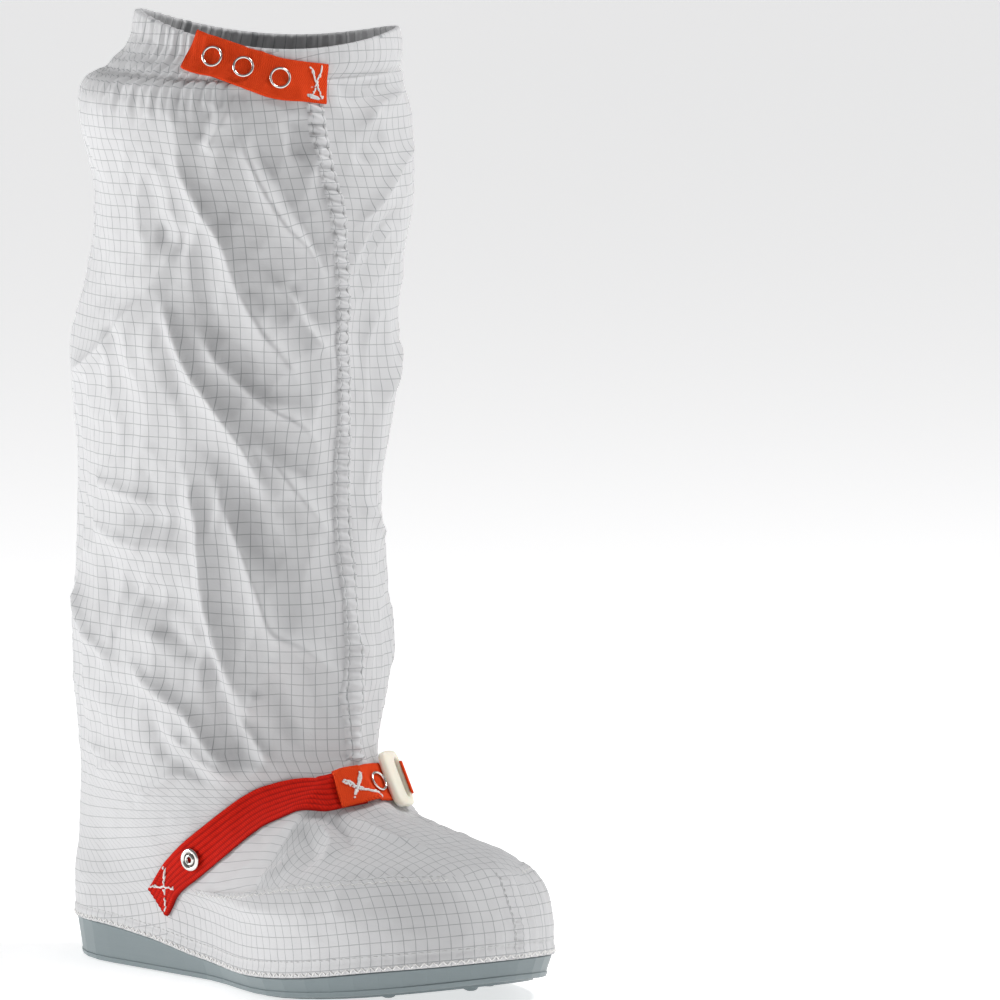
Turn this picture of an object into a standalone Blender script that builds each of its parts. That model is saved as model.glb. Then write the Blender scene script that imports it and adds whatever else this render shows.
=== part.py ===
"""Cleanroom overboot for the right foot: moulded tray sole, hollow cloth upper, collar tape and ankle strap.

Metres. The toe points along +X, the outer side of the foot is -Y, and the floor is Z = 0.
"""

import math

import bmesh
import bpy
import numpy as np
from mathutils import Vector
from mathutils.bvhtree import BVHTree

# Sole
SOLE_LENGTH = 0.271
BALL_WIDTH = 0.118
WAIST_WIDTH = 0.087
HEEL_WIDTH = 0.0865
HEEL_STATION = 0.18
WAIST_STATION = 0.42
BALL_STATION = 0.70
HEEL_ROUNDNESS = 2.0
TOE_ROUNDNESS = 2.0
TOE_SPRING = 0.0118
TOE_SPRING_START = 0.53
WALL_FLARE = 0.0022
FLOOR_THICKNESS = 0.0045
RIM_ABOVE_SIDE = 0.0045
RIM_THICKNESS = 0.0018
LIP_HEIGHT = 0.0032
LIP_STEP = 0.0004
EDGE_ROUND = 0.0012

# Share of the sole's length, and height of the sole's side that shows below the cloth there
SIDE_HEIGHT_ROWS = (
    (0.00, 0.0184),
    (0.15, 0.0184),
    (0.30, 0.0155),
    (0.45, 0.0102),
    (0.60, 0.0088),
    (0.75, 0.0095),
    (0.90, 0.0108),
    (1.00, 0.0104),
)

# Tread pads under the sole: name, first and last share of the length, share of the pad that rounds off
# at its rear and at its front
TREAD_HEIGHT = 0.0008
TREAD_SINK = 0.0010
TREAD_MARGIN = 0.0050
TREAD_POINTS = 40
TREAD_ROWS = (
    ("heel", 0.025, 0.305, 0.50, 0.50),
    ("forefoot", 0.395, 0.978, 0.38, 0.20),
)

# Round studs on the forefoot pad: share of the sole's length, share of the ball width off the middle
STUD_RADIUS = 0.0035
STUD_HEIGHT = 0.0016
STUD_ROWS = (
    (0.675, -0.340),
    (0.675, 0.340),
    (0.755, 0.000),
    (0.832, -0.234),
    (0.832, 0.234),
    (0.912, 0.000),
)

# Insole
INSOLE_THICKNESS = 0.0030
INSOLE_GAP = 0.0003
INSOLE_MARGIN = 0.0006

# Cloth upper
CLOTH_THICKNESS = 0.0012
PIECE_GAP = 0.0003
HEM_PROUD = 0.0007
SIDE_WALL_TOP = 0.038
SIDE_BULGE = 0.0005
VAMP_FULLNESS = 1.6
SIDE_BLEND = 0.007
THROAT_BLEND = 0.030
THROAT_BACK = -0.020
THROAT_HEIGHT = 0.100
THROAT_TOP = 0.150
THROAT_TAPER = 0.30
THROAT_RISE = 0.35
HEM_BLEND_START = 0.001
HEM_BLEND_END = 0.046
PANEL_START = 0.45
PANEL_EDGE = 0.06
COLUMNS = 56

# Height, furthest back, half width and sideways shift of the shaft
SHAFT_ROWS = (
    (0.020, -0.1384, 0.0300, 0.0000),
    (0.045, -0.1385, 0.0430, 0.0000),
    (0.065, -0.1375, 0.0500, 0.0000),
    (0.095, -0.1355, 0.0525, 0.0000),
    (0.128, -0.1365, 0.0542, 0.0000),
    (0.170, -0.1360, 0.0545, 0.0000),
    (0.210, -0.1320, 0.0555, 0.0000),
    (0.255, -0.1260, 0.0595, 0.0000),
    (0.297, -0.1185, 0.0642, 0.0010),
    (0.340, -0.1120, 0.0680, 0.0020),
    (0.374, -0.1145, 0.0725, 0.0000),
    (0.388, -0.1100, 0.0690, -0.0010),
    (0.3935, -0.0990, 0.0625, 0.0000),
    (0.398, -0.0895, 0.0585, 0.0015),
    (0.403, -0.0870, 0.0570, 0.0025),
    (0.425, -0.0895, 0.0585, 0.0025),
)

# Height and furthest forward of the front profile, from the hem over the toe and instep to the collar
FRONT_ROWS = (
    (0.020, 0.1384),
    (0.032, 0.1376),
    (0.040, 0.1350),
    (0.048, 0.1308),
    (0.055, 0.1250),
    (0.059, 0.1190),
    (0.062, 0.1105),
    (0.065, 0.1005),
    (0.068, 0.0890),
    (0.071, 0.0765),
    (0.074, 0.0645),
    (0.078, 0.0525),
    (0.084, 0.0430),
    (0.092, 0.0370),
    (0.102, 0.0335),
    (0.128, 0.0310),
    (0.170, 0.0280),
    (0.210, 0.0260),
    (0.255, 0.0250),
    (0.297, 0.0265),
    (0.340, 0.0310),
    (0.374, 0.0300),
    (0.388, 0.0275),
    (0.398, 0.0270),
    (0.425, 0.0267),
)

# Rings of the upper above its hem band: height at the rear, height at the front, kind of ring, and 1
# where the front seam runs
HEM_BAND = 0.0045
PANEL_PROUD = 0.0006
CASING_PROUD = 0.0008
CASING_EDGE_SHARE = 0.3
RING_ROWS = (
    (0.0310, 0.0420, "panel", 0.0),
    (0.0395, 0.0575, "panel", 0.0),
    (0.0405, 0.0588, "plain", 0.0),
    (0.0475, 0.0612, "plain", 0.0),
    (0.0540, 0.0638, "plain", 0.0),
    (0.0600, 0.0665, "plain", 0.0),
    (0.0660, 0.0697, "plain", 0.0),
    (0.0715, 0.0730, "plain", 0.0),
    (0.0775, 0.0775, "plain", 0.0),
    (0.0850, 0.0850, "plain", 0.0),
    (0.0940, 0.0940, "plain", 0.0),
    (0.1040, 0.1040, "plain", 0.0),
    (0.1055, 0.1055, "plain", 1.0),
    (0.1400, 0.1400, "plain", 1.0),
    (0.1800, 0.1800, "plain", 1.0),
    (0.2220, 0.2220, "plain", 1.0),
    (0.2640, 0.2640, "plain", 1.0),
    (0.3050, 0.3050, "plain", 1.0),
    (0.3350, 0.3350, "plain", 1.0),
    (0.3600, 0.3600, "plain", 1.0),
    (0.3760, 0.3760, "plain", 1.0),
    (0.3870, 0.3870, "plain", 1.0),
    (0.3920, 0.3920, "plain", 1.0),
    (0.3928, 0.3928, "casing", 0.0),
    (0.3980, 0.3980, "casing", 0.0),
    (0.4035, 0.4035, "casing", 0.0),
)

# Collar edge: it waves up and down around its middle height
COLLAR_HEIGHT = 0.4088
COLLAR_WAVE = 0.0050
COLLAR_TILT = -0.0038
COLLAR_WAVE_ANGLE = math.radians(52.0)
COLLAR_WAVE_START = 0.3870

# Front seam: flat raised strip, turned towards the outer side near the top
SEAM_HALF_WIDTH = 0.0037
SEAM_EDGE = 0.0007
SEAM_PROUD = 0.0007
SEAM_TURN = math.radians(-13.5)
SEAM_TURN_START = 0.280
SEAM_TURN_END = 0.375

# Straps: angle round the boot in degrees, height, and how far the underside stands off the cloth
STRAP_GAP = 0.0005
ELASTIC_WIDTH = 0.0168
ELASTIC_THICKNESS = 0.0016
TAPE_WIDTH = 0.0172
TAPE_THICKNESS = 0.0013
TAB_THICKNESS = 0.0020
TAB_OVER = STRAP_GAP + ELASTIC_THICKNESS + 3 * PIECE_GAP
STRAP_COLUMNS = 4
SEARCH_REACH = 0.012
OUTER_ELASTIC_ROWS = (
    (-108.5, 0.0322, STRAP_GAP),
    (-101.5, 0.0445, STRAP_GAP),
    (-91.0, 0.0570, STRAP_GAP),
    (-73.0, 0.0705, STRAP_GAP),
    (-54.0, 0.0790, STRAP_GAP),
    (-36.0, 0.0840, STRAP_GAP),
    (-20.0, 0.0870, STRAP_GAP),
    (-9.0, 0.0884, STRAP_GAP),
)
INNER_ELASTIC_ROWS = (
    (108.5, 0.0322, STRAP_GAP),
    (101.5, 0.0445, STRAP_GAP),
    (91.0, 0.0570, STRAP_GAP),
    (73.0, 0.0705, STRAP_GAP),
    (54.0, 0.0790, STRAP_GAP),
    (36.0, 0.0850, STRAP_GAP),
    (23.5, 0.0880, STRAP_GAP),
)
TAB_ROWS = (
    (-15.0, 0.0868, TAB_OVER),
    (-9.0, 0.0880, TAB_OVER),
    (-4.0, 0.0886, TAB_OVER * 0.75),
    (3.0, 0.0888, STRAP_GAP),
    (10.0, 0.0886, STRAP_GAP),
    (20.0, 0.0882, STRAP_GAP),
)
COLLAR_TAPE_ROWS = (
    (-77.5, 0.4052, 0.0024),
    (-68.0, 0.4040, 0.0014),
    (-59.5, 0.4022, STRAP_GAP),
    (-43.0, 0.3970, STRAP_GAP),
    (-25.0, 0.3922, STRAP_GAP),
    (-8.5, 0.3895, STRAP_GAP),
)

# Snaps: name, which strap, share along it
SNAP_RADIUS = 0.0050
SNAP_HOLE = 0.0037
SNAP_HEIGHT = 0.0009
SOCKET_RADIUS = 0.0051
SOCKET_HOLE = 0.0012
SOCKET_HEIGHT = 0.0012
SNAP_GAP = 0.0003
SNAP_POINTS = 16
SNAP_ROWS = (
    ("collar_snap_1", "collar", 0.155),
    ("collar_snap_2", "collar", 0.405),
    ("collar_snap_3", "collar", 0.655),
    ("ankle_snap", "tab", 0.600),
)
SOCKET_ALONG = 0.265

# Buckle: a loop that the strap ends pass under
BUCKLE_ANGLE = 21.5
BUCKLE_HEIGHT = 0.0884
BUCKLE_LENGTH = 0.0245
BUCKLE_WIDTH = 0.0150
BUCKLE_BAR = 0.0036
BUCKLE_CORNER = 5.0
BUCKLE_POINTS = 28
BUCKLE_SECTION = 8
BUCKLE_CLEARANCE = 0.0015
BUCKLE_LIFT = STRAP_GAP + TAB_THICKNESS + BUCKLE_BAR / 2 + BUCKLE_CLEARANCE

COLOURS = {
    "cloth": (0.90, 0.90, 0.90, 1.0),
    "sole": (0.42, 0.48, 0.49, 1.0),
    "insole": (0.72, 0.73, 0.72, 1.0),
    "elastic": (0.72, 0.04, 0.02, 1.0),
    "tape": (0.80, 0.07, 0.02, 1.0),
    "snap": (0.75, 0.74, 0.71, 1.0),
    "buckle": (0.88, 0.85, 0.76, 1.0),
}


def smooth_table(value, keys, results):
    """Reads a table with a smooth curve that never overshoots its rows."""
    keys = np.asarray(keys, float)
    results = np.asarray(results, float)
    value = np.clip(value, keys[0], keys[-1])
    steps = np.diff(keys)
    slopes = np.diff(results) / steps
    tangents = np.zeros(len(keys))
    for index in range(1, len(keys) - 1):
        before = slopes[index - 1]
        after = slopes[index]
        if before * after > 0:
            tangents[index] = 2 * before * after / (before + after)
    tangents[0] = slopes[0]
    tangents[-1] = slopes[-1]
    row = int(np.clip(np.searchsorted(keys, value) - 1, 0, len(keys) - 2))
    share = (value - keys[row]) / steps[row]
    square = share * share
    cube = square * share
    return ((2 * cube - 3 * square + 1) * results[row]
            + (cube - 2 * square + share) * steps[row] * tangents[row]
            + (3 * square - 2 * cube) * results[row + 1]
            + (cube - square) * steps[row] * tangents[row + 1])


def ease(share):
    share = min(max(share, 0.0), 1.0)
    return share * share * (3 - 2 * share)


def sole_half_width(share):
    """Half width of the sole's lower outline at a share of its length, 0 at the heel and 1 at the toe."""
    share = min(max(share, 0.0), 1.0)
    if share < HEEL_STATION:
        reach = (HEEL_STATION - share) / HEEL_STATION
        return HEEL_WIDTH / 2 * (1 - reach ** HEEL_ROUNDNESS) ** (1 / HEEL_ROUNDNESS)
    if share < WAIST_STATION:
        blend = ease((share - HEEL_STATION) / (WAIST_STATION - HEEL_STATION))
        return (HEEL_WIDTH + (WAIST_WIDTH - HEEL_WIDTH) * blend) / 2
    if share < BALL_STATION:
        blend = ease((share - WAIST_STATION) / (BALL_STATION - WAIST_STATION))
        return (WAIST_WIDTH + (BALL_WIDTH - WAIST_WIDTH) * blend) / 2
    reach = (share - BALL_STATION) / (1 - BALL_STATION)
    return BALL_WIDTH / 2 * max(1 - reach ** TOE_ROUNDNESS, 0.0) ** (1 / TOE_ROUNDNESS)


def sole_bottom(share):
    """Height of the tread above the floor."""
    if share <= TOE_SPRING_START:
        return 0.0
    reach = min((share - TOE_SPRING_START) / (1 - TOE_SPRING_START), 1.0)
    return TOE_SPRING * reach * reach


def side_height(share):
    keys = [row[0] for row in SIDE_HEIGHT_ROWS]
    return smooth_table(share, keys, [row[1] for row in SIDE_HEIGHT_ROWS])


def outline_point(angle):
    share = (1 + math.cos(angle)) / 2
    side = 1.0 if math.sin(angle) >= 0 else -1.0
    return (share - 0.5) * SOLE_LENGTH, side * sole_half_width(share)


def outline_offset(angle, distance):
    """Point of the sole's outline moved outwards by a distance."""
    step = 0.01
    x_before, y_before = outline_point(angle - step)
    x_after, y_after = outline_point(angle + step)
    along_x = x_after - x_before
    along_y = y_after - y_before
    length = math.hypot(along_x, along_y)
    x, y = outline_point(angle)
    return x + along_y / length * distance, y - along_x / length * distance


def shaft_value(height, column):
    keys = [row[0] for row in SHAFT_ROWS]
    return smooth_table(height, keys, [row[column] for row in SHAFT_ROWS])


def front_reach(height):
    keys = [row[0] for row in FRONT_ROWS]
    return smooth_table(height, keys, [row[1] for row in FRONT_ROWS])


def instep_height(x):
    """Height of the front profile above a point of the foot; behind the throat it rises gently."""
    low = SIDE_WALL_TOP
    high = THROAT_HEIGHT
    if x <= front_reach(high):
        return high + (front_reach(high) - x) * THROAT_RISE
    for _ in range(24):
        middle = (low + high) / 2
        if front_reach(middle) > x:
            low = middle
        else:
            high = middle
    return (low + high) / 2


def foot_half_width(x, height):
    """Half width of the foot part alone: upright sides that round over into the instep."""
    back = shaft_value(height, 1)
    front = front_reach(min(height, SIDE_WALL_TOP))
    share = (x - back) / (front - back)
    if share <= 0 or share >= 1:
        return 0.0
    bulge = 1 + (WALL_FLARE + HEM_PROUD + SIDE_BULGE) / (BALL_WIDTH / 2)
    width = sole_half_width(share) * bulge
    if height > SIDE_WALL_TOP:
        rise = (height - SIDE_WALL_TOP) / max(instep_height(x) - SIDE_WALL_TOP, 1e-6)
        width *= max(1 - min(rise, 1.0) ** VAMP_FULLNESS, 0.0) ** (1 / VAMP_FULLNESS)
    return width


def shaft_half_width(x, height):
    """Half width of the shaft alone: an oval that tapers more softly at the front of the ankle."""
    back = shaft_value(height, 1)
    front = front_reach(max(height, THROAT_HEIGHT))
    middle = (front + back) / 2
    reach = (x - middle) / ((front - back) / 2)
    power = 0.5
    if reach > 0:
        power += THROAT_TAPER * ease((THROAT_TOP - height) / (THROAT_TOP - THROAT_HEIGHT))
    return shaft_value(height, 2) * max(1 - reach * reach, 0.0) ** power


def body_half_width(x, height):
    foot = foot_half_width(x, height)
    shaft = shaft_half_width(x, height)
    if foot <= 0 or shaft <= 0:
        return max(foot, shaft)
    forward = ease((x - THROAT_BACK) / (front_reach(THROAT_HEIGHT) - THROAT_BACK))
    above = ease((height - SIDE_WALL_TOP) / (THROAT_HEIGHT - SIDE_WALL_TOP) * 2 - 0.5)
    blend = SIDE_BLEND + (THROAT_BLEND - SIDE_BLEND) * forward * above
    blend = min(blend, 2 * min(foot, shaft))
    near = max(blend - abs(foot - shaft), 0.0) / blend
    return max(foot, shaft) + near * near * blend / 4


def hem_height(angle):
    share = (1 + math.cos(angle)) / 2
    return sole_bottom(share) + side_height(share) + PIECE_GAP


def collar_lift(angle, height):
    """Extra height of the waving collar edge."""
    turn = angle - COLLAR_WAVE_ANGLE
    wave = COLLAR_WAVE * math.cos(2 * turn) + COLLAR_TILT * math.cos(turn)
    return wave * ease((height - COLLAR_WAVE_START) / (COLLAR_HEIGHT - COLLAR_WAVE_START))


def seam_turn(height):
    return SEAM_TURN * ease((height - SEAM_TURN_START) / (SEAM_TURN_END - SEAM_TURN_START))


RING_HEIGHTS = [(0.0, 0.0), (HEM_BAND, HEM_BAND)]
RING_HEIGHTS += [row[:2] for row in RING_ROWS]
RING_HEIGHTS += [(COLLAR_HEIGHT, COLLAR_HEIGHT)]
LAST_RING = len(RING_HEIGHTS) - 1


def ring_point(ring, angle):
    """Height of one ring at an angle: the first two follow the hem, the rest their own rows."""
    rear, front = RING_HEIGHTS[ring]
    if ring < 2:
        return hem_height(angle) + rear
    share = (1 + math.cos(angle)) / 2
    slope = ease((share - PANEL_START) / (1 - PANEL_START))
    return rear + (front - rear) * slope


def upper_base(angle, level):
    """Outer face of the plain upper; level runs over the rings, whole numbers and between."""
    level = min(max(level, 0.0), float(LAST_RING))
    ring = min(int(level), LAST_RING - 1)
    part = level - ring
    height = ring_point(ring, angle) * (1 - part) + ring_point(ring + 1, angle) * part
    rear_height = ring_point(ring, math.pi) * (1 - part) + ring_point(ring + 1, math.pi) * part
    front_height = ring_point(ring, 0.0) * (1 - part) + ring_point(ring + 1, 0.0) * part
    back = shaft_value(rear_height, 1)
    front = front_reach(front_height)
    x = (front + back) / 2 + (front - back) / 2 * math.cos(angle)
    side = 1.0 if math.sin(angle) >= 0 else -1.0
    y = side * body_half_width(x, height) + shaft_value(height, 3)
    if height < HEM_BLEND_END:
        hem_x, hem_y = outline_offset(angle, WALL_FLARE + HEM_PROUD)
        start = hem_height(angle) + HEM_BLEND_START
        blend = ease((height - start) / (HEM_BLEND_END - start))
        x = hem_x + (x - hem_x) * blend
        y = hem_y + (y - hem_y) * blend
    return Vector((x, y, height + collar_lift(angle, height)))


def upper_normal(angle, level):
    step = 0.02
    rise = 0.12
    along = upper_base(angle + step, level) - upper_base(angle - step, level)
    up = upper_base(angle, min(level + rise, LAST_RING)) - upper_base(angle, max(level - rise, 0.0))
    return along.cross(up).normalized()


def column_angles(height, width_here):
    """Angles of the columns around the upper, with four that follow the edges of the front seam."""
    turn = seam_turn(height)
    near = SEAM_HALF_WIDTH / width_here
    far = (SEAM_HALF_WIDTH + SEAM_EDGE) / width_here
    base = [0.0, near, far]
    base += [2 * math.pi * index / COLUMNS for index in range(2, COLUMNS - 1)]
    base += [2 * math.pi - far, 2 * math.pi - near]
    angles = []
    for angle in base:
        pull = math.cos(angle / 2) ** 2
        angles.append(angle + turn * pull)
    return angles


def make_object(name, vertices, faces, slot, smooth=True, sharp_angle=35.0):
    """Adds one closed object with its own material."""
    mesh = bpy.data.meshes.new(name)
    mesh.from_pydata([tuple(v) for v in vertices], [], faces)
    shape = bmesh.new()
    shape.from_mesh(mesh)
    bmesh.ops.recalc_face_normals(shape, faces=shape.faces)
    if shape.calc_volume(signed=True) < 0:
        bmesh.ops.reverse_faces(shape, faces=shape.faces)
    shape.to_mesh(mesh)
    shape.free()
    body = bpy.data.objects.new(name, mesh)
    bpy.context.scene.collection.objects.link(body)
    material = bpy.data.materials.new(name + "_material")
    material.use_nodes = True
    shader = material.node_tree.nodes["Principled BSDF"]
    shader.inputs["Base Color"].default_value = COLOURS[slot]
    shader.inputs["Roughness"].default_value = 0.3 if slot == "snap" else 0.6
    shader.inputs["Metallic"].default_value = 1.0 if slot == "snap" else 0.0
    mesh.materials.append(material)
    if smooth:
        mesh.shade_smooth()
        mesh.set_sharp_from_angle(angle=math.radians(sharp_angle))
    return body


def join_rings(rings, faces, count):
    """Quads between rings of the same length, given as first vertex numbers."""
    for lower, upper in zip(rings[:-1], rings[1:]):
        for index in range(count):
            after = (index + 1) % count
            faces.append((lower + index, lower + after, upper + after, upper + index))


def cap_ring(start, count, faces):
    """Closes a ring with strips that run across it."""
    index = 0
    while index < count // 2:
        left = index
        right = (count - index) % count
        next_left = index + 1
        next_right = count - index - 1
        corners = [start + left, start + next_left, start + next_right, start + right]
        corners = list(dict.fromkeys(corners))
        if len(corners) > 2:
            faces.append(tuple(corners))
        index += 1


def add_union(base, tools):
    """Joins solids to a base solid and takes the tools away."""
    for tool in tools:
        tool.hide_render = True
        tool.display_type = "WIRE"
        modifier = base.modifiers.new(tool.name, "BOOLEAN")
        modifier.operation = "UNION"
        modifier.solver = "EXACT"
        modifier.object = tool
    bpy.context.view_layer.update()
    graph = bpy.context.evaluated_depsgraph_get()
    joined = bpy.data.meshes.new_from_object(base.evaluated_get(graph))
    base.modifiers.clear()
    material = base.data.materials[0]
    base.data = joined
    base.data.materials.clear()
    base.data.materials.append(material)
    for tool in tools:
        bpy.data.objects.remove(tool, do_unlink=True)


def make_tread_pad(name, first, last, rear_round, front_round):
    """A low pad under the sole that follows the outline and rounds off at both ends."""
    vertices = []
    for lift in (0.0, TREAD_HEIGHT + TREAD_SINK):
        for index in range(TREAD_POINTS):
            angle = 2 * math.pi * index / TREAD_POINTS
            along = (1 + math.cos(angle)) / 2
            share = first + (last - first) * along
            half = max(sole_half_width(share) - TREAD_MARGIN, 0.0)
            if along < rear_round:
                half *= math.sqrt(max(1 - (1 - along / rear_round) ** 2, 0.0))
            if along > 1 - front_round:
                half *= math.sqrt(max(1 - (1 - (1 - along) / front_round) ** 2, 0.0))
            side = 1.0 if math.sin(angle) >= 0 else -1.0
            x = (share - 0.5) * SOLE_LENGTH
            vertices.append((x, side * half, sole_bottom(share) + lift))
    faces = []
    join_rings([0, TREAD_POINTS], faces, TREAD_POINTS)
    cap_ring(0, TREAD_POINTS, faces)
    cap_ring(TREAD_POINTS, TREAD_POINTS, faces)
    return make_object(name, vertices, faces, "sole", smooth=False)


def make_stud(name, share, offset):
    """A low round stud, flattened where it would reach below the floor."""
    count = 12
    middle_x = (share - 0.5) * SOLE_LENGTH
    middle_y = offset * BALL_WIDTH
    ground = sole_bottom(share)
    vertices = []
    rows = ((1.0, -TREAD_SINK), (1.0, 0.0), (0.80, 0.55), (0.45, 0.88))
    for reach, depth in rows:
        drop = depth if depth < 0 else depth * STUD_HEIGHT
        for index in range(count):
            angle = 2 * math.pi * index / count
            x = middle_x + STUD_RADIUS * reach * math.cos(angle)
            y = middle_y + STUD_RADIUS * reach * math.sin(angle)
            here = sole_bottom(x / SOLE_LENGTH + 0.5)
            vertices.append((x, y, max((here if depth <= 0 else ground) - drop, 0.0)))
    faces = []
    join_rings([0, count, 2 * count, 3 * count], faces, count)
    faces.append(tuple(range(count)))
    faces.append(tuple(range(3 * count, 4 * count)))
    return make_object(name, vertices, faces, "sole", smooth=False)


def sole_angles():
    return column_angles(0.0, BALL_WIDTH / 2)


def make_outsole():
    angles = sole_angles()
    count = len(angles)
    vertices = []

    def add_ring(distance, height_rule):
        start = len(vertices)
        for angle in angles:
            x, y = outline_offset(angle, distance)
            share = (1 + math.cos(angle)) / 2
            vertices.append((x, y, height_rule(share)))
        return start

    def above_tread(height):
        return lambda share: sole_bottom(share) + height

    def above_side(height):
        return lambda share: sole_bottom(share) + side_height(share) + height

    rim_face = WALL_FLARE + HEM_PROUD - CLOTH_THICKNESS - PIECE_GAP
    rings = [
        add_ring(-EDGE_ROUND * 1.3, above_tread(TREAD_HEIGHT)),
        add_ring(-EDGE_ROUND * 0.3, above_tread(TREAD_HEIGHT + EDGE_ROUND * 0.35)),
        add_ring(0.0, above_tread(TREAD_HEIGHT + EDGE_ROUND)),
        add_ring(LIP_STEP, above_tread(LIP_HEIGHT)),
        add_ring(0.0, above_tread(LIP_HEIGHT + LIP_STEP)),
        add_ring(WALL_FLARE, above_side(-LIP_STEP)),
        add_ring(WALL_FLARE - LIP_STEP, above_side(0.0)),
        add_ring(rim_face, above_side(0.0)),
        add_ring(rim_face, above_side(RIM_ABOVE_SIDE)),
        add_ring(rim_face - RIM_THICKNESS, above_side(RIM_ABOVE_SIDE)),
        add_ring(rim_face - RIM_THICKNESS - WALL_FLARE, above_tread(FLOOR_THICKNESS)),
    ]
    faces = []
    join_rings(rings, faces, count)
    cap_ring(rings[0], count, faces)
    cap_ring(rings[-1], count, faces)
    sole = make_object("outsole", vertices, faces, "sole")
    tools = [make_tread_pad("tread_" + row[0], *row[1:]) for row in TREAD_ROWS]
    for index, (share, offset) in enumerate(STUD_ROWS):
        tools.append(make_stud("stud_%d" % (index + 1), share, offset))
    add_union(sole, tools)
    sole.data.shade_smooth()
    sole.data.set_sharp_from_angle(angle=math.radians(35.0))
    return sole


def make_insole():
    angles = sole_angles()
    count = len(angles)
    rim_face = WALL_FLARE + HEM_PROUD - CLOTH_THICKNESS - PIECE_GAP
    inset = rim_face - RIM_THICKNESS - WALL_FLARE - INSOLE_MARGIN
    vertices = []
    for rise in (0.0, INSOLE_THICKNESS):
        for angle in angles:
            x, y = outline_offset(angle, inset)
            share = (1 + math.cos(angle)) / 2
            vertices.append((x, y, sole_bottom(share) + FLOOR_THICKNESS + INSOLE_GAP + rise))
    faces = []
    join_rings([0, count], faces, count)
    cap_ring(0, count, faces)
    cap_ring(count, count, faces)
    return make_object("insole", vertices, faces, "insole")


def ring_proud(ring, angle):
    """How far one ring of the upper stands proud of the plain surface."""
    if ring < 2:
        return 0.0
    if ring == LAST_RING:
        return CASING_PROUD * CASING_EDGE_SHARE
    kind = RING_ROWS[ring - 2][2]
    if kind == "casing":
        return CASING_PROUD
    if kind == "panel":
        share = (1 + math.cos(angle)) / 2
        return PANEL_PROUD * ease((share - PANEL_START) / PANEL_EDGE)
    return 0.0


def seam_ring(ring):
    return RING_ROWS[ring - 2][3] if 2 <= ring < LAST_RING else 0.0


def make_upper():
    outer = []
    inner = []
    count = len(sole_angles())
    for ring in range(LAST_RING + 1):
        height = ring_point(ring, 0.0)
        width_here = BALL_WIDTH / 2 if seam_ring(ring) <= 0 else shaft_value(height, 2)
        angles = column_angles(height, width_here)
        seam = seam_ring(ring)
        for index, angle in enumerate(angles):
            proud = ring_proud(ring, angle)
            if index in (0, 1, count - 1) and seam > 0:
                proud += SEAM_PROUD
            base = upper_base(angle, ring)
            normal = upper_normal(angle, ring)
            if ring < 1:
                normal = Vector((normal.x, normal.y, 0.0)).normalized()
            outer.append(base + normal * proud)
            inner.append(base - normal * CLOTH_THICKNESS)
    vertices = outer + inner
    offset = len(outer)
    faces = []
    outer_rings = [ring * count for ring in range(LAST_RING + 1)]
    join_rings(outer_rings, faces, count)
    inner_rings = [offset + ring * count for ring in range(LAST_RING + 1)]
    join_rings(inner_rings, faces, count)
    join_rings([outer_rings[0], inner_rings[0]], faces, count)
    join_rings([outer_rings[-1], inner_rings[-1]], faces, count)
    return make_object("upper", vertices, faces, "cloth", sharp_angle=50.0)


def level_at(angle, height):
    """Ring number, with a share, where the upper reaches a height at one angle."""
    low = 0.0
    high = float(LAST_RING)
    for _ in range(22):
        middle = (low + high) / 2
        if upper_base(angle, middle).z < height:
            low = middle
        else:
            high = middle
    return (low + high) / 2


def strap_place(rows, share):
    """Angle, ring and lift of a strap's middle line at a share of its length."""
    keys = np.linspace(0.0, 1.0, len(rows))
    angle = math.radians(smooth_table(share, keys, [row[0] for row in rows]))
    height = smooth_table(share, keys, [row[1] for row in rows])
    lift = smooth_table(share, keys, [row[2] for row in rows])
    return angle, level_at(angle, height), lift


def strap_frame(rows, share):
    """Middle point, direction along, direction across and normal of a strap."""
    step = 0.02
    angle, level, lift = strap_place(rows, share)
    before = upper_base(*strap_place(rows, max(share - step, 0.0))[:2])
    after = upper_base(*strap_place(rows, min(share + step, 1.0))[:2])
    normal = upper_normal(angle, level)
    along = (after - before).normalized()
    across = normal.cross(along).normalized()
    return upper_base(angle, level), along, across, normal, angle, level, lift


def rest_on_upper(target, angle, level):
    """Slides a point along the cloth until it sits below the target; returns surface point and normal."""
    step = 0.01
    top = LAST_RING - 0.3
    for _ in range(6):
        here = upper_base(angle, level)
        turn = (upper_base(angle + step, level) - here) / step
        rise = (upper_base(angle, level + step) - here) / step
        miss = target - here
        turn_turn = turn.dot(turn)
        turn_rise = turn.dot(rise)
        rise_rise = rise.dot(rise)
        size = turn_turn * rise_rise - turn_rise * turn_rise
        if size <= 0:
            break
        angle_step = (turn.dot(miss) * rise_rise - rise.dot(miss) * turn_rise) / size
        level_step = (rise.dot(miss) * turn_turn - turn.dot(miss) * turn_rise) / size
        angle += min(max(angle_step, -0.2), 0.2)
        level = min(max(level + min(max(level_step, -1.0), 1.0), 0.05), top)
    here = upper_base(angle, level)
    normal = upper_normal(angle, level)
    miss = target - here
    return here + miss - normal * miss.dot(normal), normal


def surface_tree(body):
    """Search tree of an object's triangles."""
    mesh = body.data
    mesh.calc_loop_triangles()
    corners = [vertex.co for vertex in mesh.vertices]
    triangles = [tuple(triangle.vertices) for triangle in mesh.loop_triangles]
    return BVHTree.FromPolygons(corners, triangles)


def drop_to(tree, point, normal):
    """Where a line along a normal meets a surface, or the point itself where it misses."""
    hit = tree.ray_cast(point + normal * SEARCH_REACH, -normal, 2 * SEARCH_REACH)[0]
    return point if hit is None else hit


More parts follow.
